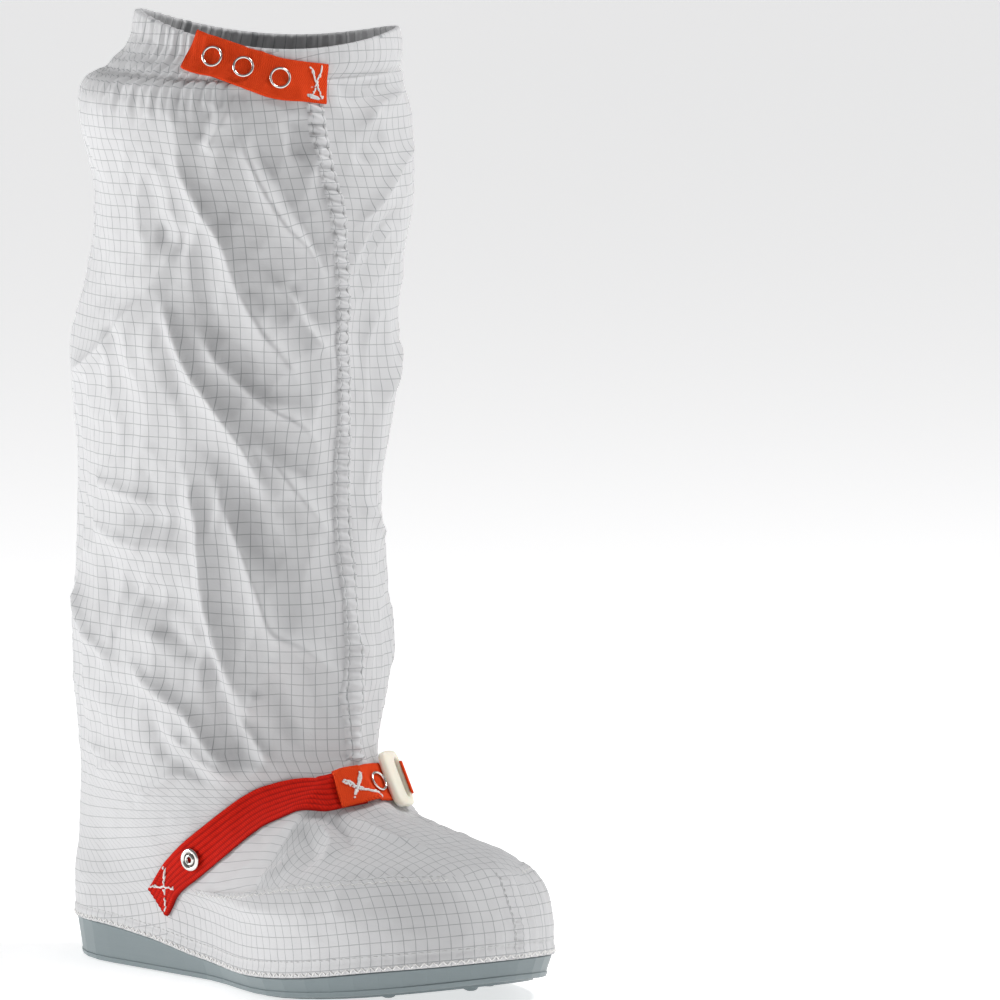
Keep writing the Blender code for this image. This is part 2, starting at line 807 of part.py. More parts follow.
PATCH_SHARES = (
    (0.25, 0.25, 0.25, 0.25),
    (0.50, 0.50, 0.00, 0.00),
    (0.00, 0.00, 0.50, 0.50),
    (0.50, 0.00, 0.50, 0.00),
    (0.00, 0.50, 0.00, 0.50),
    (0.50, 0.20, 0.20, 0.10),
    (0.10, 0.20, 0.20, 0.50),
    (0.20, 0.50, 0.10, 0.20),
    (0.20, 0.10, 0.50, 0.20),
)


def make_strap(name, rows, width, thickness, samples, slot, cloth):
    """A flat band that follows the cloth along its rows."""
    count = 2 * STRAP_COLUMNS
    places = []
    for sample in range(samples):
        share = sample / (samples - 1)
        middle, along, across, normal, angle, level, lift = strap_frame(rows, share)
        row = []
        for column in range(STRAP_COLUMNS):
            offset = (column / (STRAP_COLUMNS - 1) - 0.5) * width
            point, face = rest_on_upper(middle + across * offset, angle, level)
            face = (face + normal).normalized()
            row.append([drop_to(cloth, point, face), face])
        places.append((row, lift))
    for _ in range(3):
        for sample in range(samples - 1):
            for column in range(STRAP_COLUMNS - 1):
                corners = [places[sample + i][0][column + j] for i in (0, 1) for j in (0, 1)]
                face = sum((corner[1] for corner in corners), Vector()).normalized()
                highest = 0.0
                for shares in PATCH_SHARES:
                    spot = sum((corner[0] * share for corner, share in zip(corners, shares)), Vector())
                    highest = max(highest, (drop_to(cloth, spot, face) - spot).dot(face))
                for corner in corners:
                    corner[0] = corner[0] + corner[1] * highest
    vertices = []
    for row, lift in places:
        vertices += [point + face * lift for point, face in row]
        vertices += [point + face * (lift + thickness) for point, face in row[::-1]]
    faces = []
    join_rings([sample * count for sample in range(samples)], faces, count)
    for start in (0, (samples - 1) * count):
        for column in range(STRAP_COLUMNS - 1):
            across = start + count - 1 - column
            faces.append((start + column, start + column + 1, across - 1, across))
    return make_object(name, vertices, faces, slot, sharp_angle=40.0)


def seat_on(tree, middle, normal, radius):
    """Lowest place along a normal where a flat disc clears a surface."""
    side = normal.cross(Vector((0.0, 0.0, 1.0))).normalized()
    up = side.cross(normal).normalized()
    highest = -SEARCH_REACH
    for ring in (0.5, 0.75, 1.0):
        for index in range(12):
            angle = 2 * math.pi * index / 12
            point = middle + (side * math.cos(angle) + up * math.sin(angle)) * radius * ring
            highest = max(highest, (drop_to(tree, point, normal) - middle).dot(normal))
    return middle + normal * (highest + SNAP_GAP)


def make_turned(name, middle, normal, profile, count, slot):
    """A turned ring: profile rows are radius and height above the middle, going round a closed loop."""
    side = normal.cross(Vector((0.0, 0.0, 1.0))).normalized()
    up = side.cross(normal).normalized()
    vertices = []
    for radius, height in profile:
        for index in range(count):
            angle = 2 * math.pi * index / count
            arm = side * math.cos(angle) + up * math.sin(angle)
            vertices.append(middle + arm * radius + normal * height)
    faces = []
    starts = [row * count for row in range(len(profile))]
    join_rings(starts + [0], faces, count)
    return make_object(name, vertices, faces, slot, sharp_angle=40.0)


def make_snap(name, strap, rows, share):
    middle, along, across, normal, angle, level, lift = strap_frame(rows, share)
    middle = seat_on(surface_tree(strap), middle, normal, SNAP_RADIUS)
    band = SNAP_RADIUS - SNAP_HOLE
    profile = (
        (SNAP_HOLE, 0.0),
        (SNAP_RADIUS, 0.0),
        (SNAP_RADIUS, SNAP_HEIGHT * 0.45),
        (SNAP_RADIUS - band * 0.30, SNAP_HEIGHT),
        (SNAP_HOLE + band * 0.30, SNAP_HEIGHT),
        (SNAP_HOLE, SNAP_HEIGHT * 0.45),
    )
    return make_turned(name, middle, normal, profile, SNAP_POINTS, "snap")


def make_socket(name, strap, rows, share):
    """Snap socket: a wide flange, a groove and a small collar round a hole."""
    middle, along, across, normal, angle, level, lift = strap_frame(rows, share)
    middle = seat_on(surface_tree(strap), middle, normal, SOCKET_RADIUS)
    rim = SOCKET_RADIUS
    top = SOCKET_HEIGHT
    profile = (
        (SOCKET_HOLE, 0.0),
        (rim, 0.0),
        (rim, top * 0.30),
        (rim * 0.90, top * 0.85),
        (rim * 0.70, top),
        (rim * 0.57, top * 0.45),
        (rim * 0.46, top * 0.45),
        (rim * 0.40, top * 0.80),
        (rim * 0.29, top * 0.80),
        (SOCKET_HOLE, top * 0.50),
    )
    return make_turned(name, middle, normal, profile, SNAP_POINTS, "snap")


def make_buckle():
    angle = math.radians(BUCKLE_ANGLE)
    level = level_at(angle, BUCKLE_HEIGHT)
    step = 0.04
    normal = upper_normal(angle, level)
    along = (upper_base(angle + step, level) - upper_base(angle - step, level)).normalized()
    across = normal.cross(along).normalized()
    middle = upper_base(angle, level) + normal * BUCKLE_LIFT
    vertices = []
    half_length = BUCKLE_LENGTH / 2 - BUCKLE_BAR / 2
    half_width = BUCKLE_WIDTH / 2 - BUCKLE_BAR / 2
    power = 2 / BUCKLE_CORNER
    for index in range(BUCKLE_POINTS):
        turn = 2 * math.pi * (index + 0.5) / BUCKLE_POINTS
        turn_x = math.cos(turn)
        turn_y = math.sin(turn)
        x = half_width * math.copysign(abs(turn_x) ** power, turn_x)
        y = half_length * math.copysign(abs(turn_y) ** power, turn_y)
        out = Vector((turn_x / half_width, turn_y / half_length, 0.0)).normalized()
        for corner in range(BUCKLE_SECTION):
            roll = 2 * math.pi * (corner + 0.5) / BUCKLE_SECTION
            reach = BUCKLE_BAR / 2 / math.cos(math.pi / BUCKLE_SECTION)
            shift = reach * math.cos(roll)
            lift = reach * math.sin(roll)
            place = along * (x + out.x * shift) + across * (y + out.y * shift) + normal * lift
            vertices.append(middle + place)
    faces = []
    starts = [index * BUCKLE_SECTION for index in range(BUCKLE_POINTS)]
    join_rings(starts + [0], faces, BUCKLE_SECTION)
    return make_object("buckle", vertices, faces, "buckle", sharp_angle=60.0)


def main():
    for old in list(bpy.data.objects):
        bpy.data.objects.remove(old, do_unlink=True)
    make_outsole()
    make_insole()
    cloth = surface_tree(make_upper())
    elastic = (ELASTIC_WIDTH, ELASTIC_THICKNESS)
    outer = make_strap("ankle_elastic_outer", OUTER_ELASTIC_ROWS, *elastic, 24, "elastic", cloth)
    make_strap("ankle_elastic_inner", INNER_ELASTIC_ROWS, *elastic, 22, "elastic", cloth)
    tab = make_strap("ankle_tape_tab", TAB_ROWS, TAPE_WIDTH, TAB_THICKNESS, 12, "tape", cloth)
    collar = make_strap("collar_tape", COLLAR_TAPE_ROWS, TAPE_WIDTH, TAPE_THICKNESS, 18, "tape", cloth)
    straps = {"collar": (collar, COLLAR_TAPE_ROWS), "tab": (tab, TAB_ROWS)}
    for name, strap, share in SNAP_ROWS:
        make_snap(name, *straps[strap], share)
    make_socket("ankle_snap_socket", outer, OUTER_ELASTIC_ROWS, SOCKET_ALONG)
    make_buckle()


main()
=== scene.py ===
import math

import bpy
import numpy as np
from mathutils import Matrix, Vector
from mathutils.bvhtree import BVHTree


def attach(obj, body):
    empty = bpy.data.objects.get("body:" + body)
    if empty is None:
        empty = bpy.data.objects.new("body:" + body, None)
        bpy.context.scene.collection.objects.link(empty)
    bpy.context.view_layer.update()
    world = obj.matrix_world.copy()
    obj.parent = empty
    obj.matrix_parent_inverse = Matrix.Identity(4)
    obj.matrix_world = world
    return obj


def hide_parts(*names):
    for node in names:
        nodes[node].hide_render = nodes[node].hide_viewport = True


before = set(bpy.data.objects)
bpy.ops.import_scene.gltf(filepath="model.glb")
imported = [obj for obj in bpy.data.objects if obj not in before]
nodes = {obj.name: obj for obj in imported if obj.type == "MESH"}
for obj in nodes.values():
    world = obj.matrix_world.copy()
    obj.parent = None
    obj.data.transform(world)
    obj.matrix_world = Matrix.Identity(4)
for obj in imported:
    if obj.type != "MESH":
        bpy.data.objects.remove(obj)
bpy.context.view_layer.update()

print("frame loaded")

# Main sizes of the boot in metres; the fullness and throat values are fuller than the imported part's
boot = {
    "soleLength": 0.271,
    "ballWidth": 0.118,
    "waistWidth": 0.087,
    "heelWidth": 0.0865,
    "heelStation": 0.18,
    "waistStation": 0.42,
    "ballStation": 0.70,
    "toeSpring": 0.0118,
    "toeSpringStart": 0.53,
    "wallFlare": 0.0022,
    "hemProud": 0.0007,
    "sideHeight": 0.0184,
    "collarHeight": 0.4088,
    "clothThickness": 0.0012,
    "pieceGap": 0.0003,
    "sideWallTop": 0.038,
    "sideBulge": 0.0005,
    "fullnessThroat": 1.2,
    "fullnessToe": 2.0,
    "fullFrom": 0.09756,
    "sideBlend": 0.007,
    "throatBlend": 0.014,
    "throatBack": -0.020,
    "throatHeight": 0.100,
    "throatTop": 0.150,
    "throatTaper": 0.30,
    "throatRise": 0.35,
    "hemBlendStart": 0.001,
    "hemBlendEnd": 0.046,
    "panelStart": 0.45,
    "collarWave": 0.0050,
    "collarTilt": -0.0038,
    "collarWaveAngle": math.radians(52.0),
    "collarWaveStart": 0.3870,
    "seamTurn": math.radians(-13.5),
    "seamTurnStart": 0.280,
    "seamTurnEnd": 0.375,
    "hemBand": 0.0045,
}

# share of the sole's length, share of the heel's side height
sideTable = np.array((
    (0.00, 1.000), (0.15, 1.000), (0.30, 0.842), (0.45, 0.554),
    (0.60, 0.478), (0.75, 0.516), (0.90, 0.587), (1.00, 0.565),
))
# height, back, half width, sideways shift in millimetres, after the photo's outline
shaftTable = np.array((
    (20.0, -138.4, 30.0, 0.0), (45.0, -138.5, 43.0, 0.0), (65.0, -138.0, 50.5, 0.0),
    (95.0, -137.2, 54.0, 0.0), (128.0, -138.2, 59.0, 0.0), (148.0, -137.6, 58.2, 0.0),
    (170.0, -136.2, 55.4, 0.0), (210.0, -133.0, 56.4, -1.5), (255.0, -129.3, 64.0, 0.5),
    (278.0, -123.6, 65.4, -0.5), (300.0, -118.0, 64.6, 0.8), (340.0, -112.0, 68.0, 2.0),
    (374.0, -114.5, 72.5, 0.0), (388.0, -110.0, 69.0, -1.0), (393.5, -99.0, 62.5, 0.0),
    (398.0, -89.5, 58.5, 1.5), (403.0, -87.0, 57.0, 2.5), (425.0, -89.5, 58.5, 2.5),
)) / 1000
# height and furthest forward of the front profile in millimetres
frontTable = np.array((
    (20.0, 138.4), (32.0, 137.6), (40.0, 135.4), (48.0, 131.8), (55.0, 127.6), (59.0, 123.4),
    (62.0, 117.2), (65.0, 106.5), (68.0, 93.0), (71.0, 79.0), (74.0, 65.5), (78.0, 52.5),
    (84.0, 42.6), (92.0, 36.8), (102.0, 33.5), (128.0, 31.2), (170.0, 28.2), (210.0, 26.0),
    (255.0, 26.5), (297.0, 26.5), (340.0, 31.0), (374.0, 30.0), (388.0, 27.5), (398.0, 27.0),
    (425.0, 26.7),
)) / 1000
# rear height and front height of the rings above the hem band in millimetres
ringTable = np.array((
    (31.0, 42.0), (40.0, 58.2), (47.5, 61.2), (54.0, 63.8), (60.0, 66.5), (66.0, 69.7),
    (71.5, 73.0), (77.5, 77.5), (85.0, 85.0), (94.0, 94.0), (104.0, 104.0), (140.0, 140.0),
    (180.0, 180.0), (222.0, 222.0), (264.0, 264.0), (305.0, 305.0), (335.0, 335.0),
    (360.0, 360.0), (376.0, 376.0), (387.0, 387.0), (392.5, 392.5), (398.0, 398.0),
    (403.5, 403.5), (408.8, 408.8),
)) / 1000
lastLevel = len(ringTable) + 1


def ease(share):
    share = np.clip(share, 0.0, 1.0)
    return share * share * (3 - 2 * share)


def smoothTable(value, keys, results):
    steps = np.diff(keys)
    slopes = np.diff(results) / steps
    tangents = np.zeros(len(keys))
    before = slopes[:-1]
    after = slopes[1:]
    same = before * after > 0
    middle = np.zeros(len(before))
    middle[same] = 2 * before[same] * after[same] / (before[same] + after[same])
    tangents[1:-1] = middle
    tangents[0] = slopes[0]
    tangents[-1] = slopes[-1]
    value = np.clip(value, keys[0], keys[-1])
    row = np.clip(np.searchsorted(keys, value) - 1, 0, len(keys) - 2)
    share = (value - keys[row]) / steps[row]
    square = share * share
    cube = square * share
    startValue = 2 * cube - 3 * square + 1
    startSlope = cube - 2 * square + share
    endValue = 3 * square - 2 * cube
    endSlope = cube - square
    return (startValue * results[row] + startSlope * steps[row] * tangents[row]
            + endValue * results[row + 1] + endSlope * steps[row] * tangents[row + 1])


def soleHalfWidth(share):
    share = np.clip(share, 0.0, 1.0)
    back = np.clip(boot["heelStation"] - share, 0, 1) / boot["heelStation"]
    heel = boot["heelWidth"] / 2 * np.sqrt(np.clip(1 - back ** 2, 0, 1))
    toWaist = ease((share - boot["heelStation"]) / (boot["waistStation"] - boot["heelStation"]))
    waist = (boot["heelWidth"] + (boot["waistWidth"] - boot["heelWidth"]) * toWaist) / 2
    toBall = ease((share - boot["waistStation"]) / (boot["ballStation"] - boot["waistStation"]))
    ball = (boot["waistWidth"] + (boot["ballWidth"] - boot["waistWidth"]) * toBall) / 2
    reach = np.clip(share - boot["ballStation"], 0, 1) / (1 - boot["ballStation"])
    toe = boot["ballWidth"] / 2 * np.sqrt(np.clip(1 - reach ** 2, 0, 1))
    width = np.where(share < boot["heelStation"], heel, np.where(share < boot["waistStation"], waist, ball))
    return np.where(share < boot["ballStation"], width, toe)


def soleBottom(share):
    reach = np.clip((share - boot["toeSpringStart"]) / (1 - boot["toeSpringStart"]), 0.0, 1.0)
    return boot["toeSpring"] * reach * reach


def sideHeight(share):
    return smoothTable(share, sideTable[:, 0], sideTable[:, 1] * boot["sideHeight"])


def outlineOffset(angle, distance):
    def outline(turn):
        share = (1 + np.cos(turn)) / 2
        side = np.where(np.sin(turn) >= 0, 1.0, -1.0)
        return (share - 0.5) * boot["soleLength"], side * soleHalfWidth(share)
    step = 0.01
    xBefore, yBefore = outline(angle - step)
    xAfter, yAfter = outline(angle + step)
    alongX = xAfter - xBefore
    alongY = yAfter - yBefore
    length = np.hypot(alongX, alongY)
    x, y = outline(angle)
    return x + alongY / length * distance, y - alongX / length * distance


def shaftValue(height, column):
    return smoothTable(height, shaftTable[:, 0], shaftTable[:, column])


def frontReach(height):
    return smoothTable(height, frontTable[:, 0], frontTable[:, 1])


instepHeights = np.linspace(boot["sideWallTop"], boot["throatHeight"], 400)
instepReaches = frontReach(instepHeights)


def bodyHalfWidth(x, height):
    back = shaftValue(height, 1)
    front = frontReach(np.minimum(height, boot["sideWallTop"]))
    share = (x - back) / (front - back)
    bulge = 1 + (boot["wallFlare"] + boot["hemProud"] + boot["sideBulge"]) / (boot["ballWidth"] / 2)
    foot = soleHalfWidth(share) * bulge
    throatFront = frontReach(boot["throatHeight"])
    instep = np.interp(-x, -instepReaches, instepHeights)
    instep = np.where(x <= throatFront, boot["throatHeight"] + (throatFront - x) * boot["throatRise"], instep)
    rise = np.clip((height - boot["sideWallTop"]) / np.maximum(instep - boot["sideWallTop"], 1e-6), 0.0, 1.0)
    toward = ease((x - throatFront) / (boot["fullFrom"] - throatFront))
    full = boot["fullnessThroat"] + (boot["fullnessToe"] - boot["fullnessThroat"]) * toward
    foot = foot * np.clip(1 - rise ** full, 0.0, 1.0) ** (1 / full)
    foot = np.where((share <= 0) | (share >= 1), 0.0, foot)
    shaftFront = frontReach(np.maximum(height, boot["throatHeight"]))
    reach = (x - (shaftFront + back) / 2) / ((shaftFront - back) / 2)
    taper = ease((boot["throatTop"] - height) / (boot["throatTop"] - boot["throatHeight"]))
    power = 0.5 + np.where(reach > 0, boot["throatTaper"] * taper, 0.0)
    shaft = shaftValue(height, 2) * np.clip(1 - reach * reach, 0.0, 1.0) ** power
    forward = ease((x - boot["throatBack"]) / (throatFront - boot["throatBack"]))
    above = ease((height - boot["sideWallTop"]) / (boot["throatHeight"] - boot["sideWallTop"]) * 2 - 0.5)
    blend = boot["sideBlend"] + (boot["throatBlend"] - boot["sideBlend"]) * forward * above
    blend = np.maximum(np.minimum(blend, 2 * np.minimum(foot, shaft)), 1e-9)
    near = np.clip(blend - np.abs(foot - shaft), 0.0, None) / blend
    return np.maximum(foot, shaft) + np.where((foot > 0) & (shaft > 0), near * near * blend / 4, 0.0)


def hemHeight(angle):
    share = (1 + np.cos(angle)) / 2
    return soleBottom(share) + sideHeight(share) + boot["pieceGap"]


def ringHeights(level):
    index = np.arange(len(ringTable)) + 2.0
    return smoothTable(level, index, ringTable[:, 0]), smoothTable(level, index, ringTable[:, 1])


def levelHeight(level, angle):
    slope = ease(((1 + np.cos(angle)) / 2 - boot["panelStart"]) / (1 - boot["panelStart"]))
    rear, front = ringHeights(np.maximum(level, 2.0))
    upper = rear + (front - rear) * slope
    hem = hemHeight(angle)
    band = hem + boot["hemBand"]
    low = hem + boot["hemBand"] * np.clip(level, 0, 1)
    part = np.clip(level - 1, 0, 1)
    return np.where(level < 1, low, np.where(level < 2, band + (upper - band) * part, upper))


def baseSurface(angle, level):
    level = np.clip(np.asarray(level, float), 0, lastLevel)
    angle, level = np.broadcast_arrays(np.asarray(angle, float), level)
    height = levelHeight(level, angle)
    rearHeight = levelHeight(level, np.full_like(angle, math.pi))
    frontHeight = levelHeight(level, np.zeros_like(angle))
    back = shaftValue(rearHeight, 1)
    front = frontReach(frontHeight)
    x = (front + back) / 2 + (front - back) / 2 * np.cos(angle)
    side = np.where(np.sin(angle) >= 0, 1.0, -1.0)
    y = side * bodyHalfWidth(x, height) + shaftValue(height, 3)
    hemX, hemY = outlineOffset(angle, boot["wallFlare"] + boot["hemProud"])
    start = hemHeight(angle) + boot["hemBlendStart"]
    blend = ease((height - start) / (boot["hemBlendEnd"] - start))
    x = hemX + (x - hemX) * blend
    y = hemY + (y - hemY) * blend
    turn = angle - boot["collarWaveAngle"]
    wave = boot["collarWave"] * np.cos(2 * turn) + boot["collarTilt"] * np.cos(turn)
    lift = wave * ease((height - boot["collarWaveStart"]) / (boot["collarHeight"] - boot["collarWaveStart"]))
    return np.stack((x, y, height + lift), axis=-1)


def baseNormal(angle, level):
    step = 0.02
    rise = 0.10
    level = np.asarray(level, float)
    along = baseSurface(angle + step, level) - baseSurface(angle - step, level)
    higher = baseSurface(angle, np.minimum(level + rise, lastLevel))
    lower = baseSurface(angle, np.maximum(level - rise, 0))
    normal = np.cross(along, higher - lower)
    return normal / np.maximum(np.linalg.norm(normal, axis=-1, keepdims=True), 1e-12)


def levelAt(angle, height):
    angle = np.asarray(angle, float)
    low = np.zeros_like(angle)
    high = np.full_like(angle, float(lastLevel))
    for _ in range(24):
        middle = (low + high) / 2
        below = levelHeight(middle, angle) < height
        low = np.where(below, middle, low)
        high = np.where(below, high, middle)
    return (low + high) / 2


def seamAngle(height):
    share = (height - boot["seamTurnStart"]) / (boot["seamTurnEnd"] - boot["seamTurnStart"])
    return boot["seamTurn"] * ease(share)


# Creases of the cloth: height of the crease, width below it and above it in millimetres, and the places
# it runs through as angle round the boot in degrees and height in millimetres
creaseTable = (
    (3.4, 9, 7, ((-73, 300), (-66, 285), (-57, 264), (-49, 250), (-42, 236), (-36, 222), (-31, 208))),
    (3.0, 8, 8, ((-66, 360), (-63, 347), (-57, 335), (-49, 320), (-41, 298), (-34, 285), (-25, 271),
                 (-17, 250))),
    (2.6, 7, 6, ((-54, 360), (-49, 370), (-43, 378))),
    (2.8, 7, 6, ((-41, 372), (-40, 365), (-36, 347), (-28, 330), (-19, 320), (-8, 298))),
    (1.8, 6, 5, ((-35, 310), (-24, 298), (-12, 278), (-5, 271))),
    (1.8, 8, 6, ((-77, 298), (-88, 285), (-101, 271), (-126, 257))),
    (2.4, 7, 6, ((-57, 285), (-43, 264), (-30, 250), (-20, 243), (-11, 229))),
    (1.6, 6, 5, ((-40, 243), (-27, 222), (-17, 208), (-6, 194))),
    (3.0, 8, 8, ((-66, 229), (-62, 215), (-59, 194), (-59, 173), (-54, 147), (-49, 128), (-46, 117))),
    (2.4, 9, 7, ((-54, 222), (-45, 194), (-38, 167), (-33, 153), (-22, 147), (-8, 134))),
    (2.2, 7, 6, ((-91, 140), (-79, 128), (-67, 117), (-61, 101), (-54, 90))),
    (1.6, 9, 8, ((-110, 218), (-102, 215), (-81, 208), (-70, 206))),
    (1.6, 9, 9, ((-112, 196), (-105, 194), (-81, 187), (-63, 187))),
    (1.8, 7, 7, ((-130, 176), (-122, 160), (-103, 140), (-91, 134))),
    (1.8, 6, 6, ((-76, 111), (-65, 97), (-56, 88))),
    (1.4, 5, 5, ((-51, 117), (-43, 96))),
    (1.4, 5, 5, ((-41, 128), (-48, 117))),
    (2.2, 7, 6, ((-2, 325), (10, 339), (26, 356), (39, 363))),
    (2.0, 6, 6, ((2, 305), (11, 315), (26, 330))),
    (2.0, 6, 6, ((1, 368), (15, 380), (32, 383))),
    (1.6, 8, 8, ((22, 250), (31, 264), (39, 278))),
    (1.2, 5, 5, ((-20, 347), (-17, 356), (-15, 365))),
    (1.4, 7, 7, ((8, 208), (22, 201), (42, 187))),
    (1.4, 6, 6, ((-100, 78), (-90, 81), (-75, 90), (-66, 84))),
    (1.2, 7, 7, ((-118, 85), (-96, 94))),
    (-2.4, 8, 7, ((-78, 326), (-73, 325), (-62, 320))),
    (-1.8, 6, 7, ((-49, 382), (-53, 371), (-55, 363))),
    (-2.6, 6, 6, ((-20, 378), (-21, 365), (-23, 356))),
    (-1.8, 5, 6, ((-35, 373), (-34, 363), (-26, 339), (-19, 325), (-9, 305))),
    (-2.0, 8, 8, ((-58, 310), (-52, 291), (-43, 278), (-32, 257), (-20, 250))),
    (-2.0, 7, 7, ((-73, 291), (-67, 278), (-62, 250))),
    (-3.2, 9, 9, ((-63, 232), (-50, 229), (-43, 215), (-37, 201), (-32, 187), (-27, 173))),
    (-2.0, 6, 6, ((-34, 250), (-23, 229), (-13, 215))),
    (-1.8, 5, 6, ((-38, 236), (-31, 215), (-33, 201))),
    (-2.2, 8, 8, ((-90, 202), (-85, 201), (-62, 200))),
    (-2.0, 8, 8, ((-95, 173), (-82, 167), (-62, 167))),
    (-2.2, 7, 7, ((-77, 160), (-66, 147), (-58, 141))),
    (-2.6, 6, 6, ((-60, 167), (-57, 147), (-55, 123), (-53, 105), (-47, 94))),
    (-2.0, 6, 6, ((-81, 117), (-79, 102), (-70, 92), (-64, 86))),
    (-1.6, 7, 7, ((-104, 123), (-83, 123))),
    (-1.2, 6, 6, ((-37, 140), (-33, 123), (-32, 105))),
    (-2.2, 6, 7, ((5, 300), (8, 310), (17, 325), (32, 335))),
    (-1.8, 6, 6, ((2, 352), (5, 360), (16, 368))),
    (-1.6, 6, 6, ((-25, 310), (-16, 291), (-8, 285))),
    (-1.2, 6, 6, ((-88, 278), (-100, 285))),
    (-1.4, 6, 6, ((-7, 387), (1, 383), (23, 387))),
    (-1.2, 8, 8, ((8, 298), (14, 250), (12, 215))),
    # foot below the strap
    (1.4, 5, 5, ((-46, 74), (-49, 66), (-54, 58))),
    (1.6, 5, 4, ((-30, 76), (-25, 70), (-18, 68), (-12, 65))),
    (1.2, 4, 4, ((-62, 64), (-66, 56), (-72, 50))),
    (-1.4, 4, 4, ((-40, 76), (-41, 70), (-42, 64))),
    (-1.2, 4, 4, ((-55, 70), (-57, 62), (-60, 55))),
    # inner side and back, which the photo hides
    (2.2, 9, 8, ((60, 352), (75, 330), (92, 300), (110, 276))),
    (-2.0, 8, 8, ((55, 330), (72, 305), (90, 280), (104, 262))),
    (2.4, 9, 8, ((150, 300), (128, 268), (108, 246), (86, 232))),
    (2.0, 8, 8, ((44, 280), (60, 258), (80, 236), (96, 220))),
    (-2.2, 9, 9, ((52, 246), (72, 222), (92, 204))),
    (2.4, 8, 8, ((66, 214), (64, 190), (60, 166), (54, 140), (50, 118))),
    (-2.0, 8, 8, ((78, 196), (80, 168), (74, 142), (66, 116))),
    (2.0, 8, 7, ((112, 190), (100, 160), (88, 136), (72, 112), (62, 96))),
    (1.8, 8, 8, ((180, 240), (160, 214), (140, 196), (118, 186))),
    (-1.8, 9, 9, ((176, 210), (156, 186), (132, 168))),
    (1.8, 8, 8, ((-150, 330), (-160, 300), (-176, 276), (-190, 262))),
    (-1.8, 9, 9, ((-140, 300), (-156, 272), (-172, 250))),
    (1.6, 8, 8, ((-150, 178), (-165, 156), (178, 136), (160, 124))),
    (-1.6, 8, 8, ((170, 160), (150, 138), (130, 122), (112, 112))),
    (1.8, 7, 7, ((120, 118), (104, 104), (90, 92))),
    (1.4, 7, 7, ((-160, 108), (-178, 98), (164, 90))),
    (1.4, 5, 5, ((46, 74), (50, 64), (55, 56))),
    (-1.2, 5, 5, ((38, 72), (42, 64), (46, 56))),
)


# Relief of the cloth: factors for crease, trough and crease width, the others in millimetres
relief = {
    "crease": 2.0,
    "trough": 1.5,
    "creaseWidth": 0.75,
    "broad": 0.9,
    "middle": 0.85,
    "fine": 0.10,
    "gather": 1.0,
    "gatherPitch": 4.4,
    "hemPucker": 0.28,
    "panelStep": 0.5,
}
# Form of a crease: reach in widths, sharpness of its ridge, the share over which its ends fade and what is
# left there, and the depth in metres past which a trough deepens by a share only
creaseForm = {
    "reach": 3.2,
    "steps": 6,
    "ridge": 2.6,
    "ridgeRound": 0.06,
    "ridgeLift": 0.245,
    "endShare": 0.28,
    "endLeft": 0.12,
    "troughLimit": -0.0026,
    "troughShare": 0.3,
}


def creaseLine(places):
    angles = np.radians([place[0] for place in places])
    heights = np.array([place[1] for place in places]) / 1000
    shares = np.linspace(0, 1, len(places))
    fine = np.linspace(0, 1, creaseForm["steps"] * (len(places) - 1) + 1)
    between = smoothTable if len(places) > 2 else np.interp
    angles = between(fine, shares, angles)
    return baseSurface(angles, levelAt(angles, between(fine, shares, heights)))


def creaseRelief(points, normals):
    total = np.zeros(points.shape[0])
    for rise, widthBelow, widthAbove, places in creaseTable:
        line = creaseLine(places)
        reach = creaseForm["reach"] * max(widthBelow, widthAbove) / 1000
        low = line.min(0) - reach
        high = line.max(0) + reach
        near = np.nonzero(((points > low) & (points < high)).all(axis=1))[0]
        if not len(near):
            continue
        here = points[near]
        best = np.full(len(near), 1e9)
        place = np.zeros(len(near))
        side = np.zeros(len(near))
        lengths = np.linalg.norm(np.diff(line, axis=0), axis=1)
        starts = np.concatenate(([0.0], np.cumsum(lengths)))
        for index in range(len(line) - 1):
            step = line[index + 1] - line[index]
            along = np.clip(((here - line[index]) @ step) / max(lengths[index] ** 2, 1e-12), 0, 1)
            offset = here - (line[index] + along[:, None] * step)
            distance = np.linalg.norm(offset, axis=1)
            closer = distance < best
            best = np.where(closer, distance, best)
            place = np.where(closer, (starts[index] + along * lengths[index]) / starts[-1], place)
            across = np.einsum("ij,ij->i", np.cross(step, offset), normals[near])
            side = np.where(closer, across / np.maximum(lengths[index] * distance, 1e-9), side)
        width = widthBelow + (widthAbove - widthBelow) * ease(side * 0.5 + 0.5)
        away = best / (width / 1000 * relief["creaseWidth"])
        if rise > 0:
            ridge = np.sqrt(away * away * creaseForm["ridge"] + creaseForm["ridgeRound"])
            profile = np.exp(-ridge + creaseForm["ridgeLift"])
        else:
            profile = np.exp(-away * away)
        ends = ease(place / creaseForm["endShare"]) * ease((1 - place) / creaseForm["endShare"])
        ends = creaseForm["endLeft"] + (1 - creaseForm["endLeft"]) * ends
        strength = relief["crease"] if rise > 0 else relief["trough"]
        total[near] += strength * rise / 1000 * profile * ends
    # troughs stay shallower than the inner side of the cloth
    limit = creaseForm["troughLimit"]
    return np.where(total < limit, limit + (total - limit) * creaseForm["troughShare"], total)


def waves(points, wavelength, seed, count=16, stretch=(1.0, 1.0, 1.0)):
    chance = np.random.default_rng(seed)
    total = np.zeros(points.shape[0])
    scaled = points * np.array(stretch)
    for _ in range(count):
        direction = chance.normal(size=3)
        direction /= np.linalg.norm(direction)
        rate = 2 * math.pi / wavelength * chance.uniform(0.7, 1.4)
        total += np.sin(scaled @ direction * rate + chance.uniform(0, 2 * math.pi))
    return total / math.sqrt(count / 2)


def panelLine(angle):
    # height of the seam between side panel and vamp
    return levelHeight(np.full_like(angle, 3.0), angle)


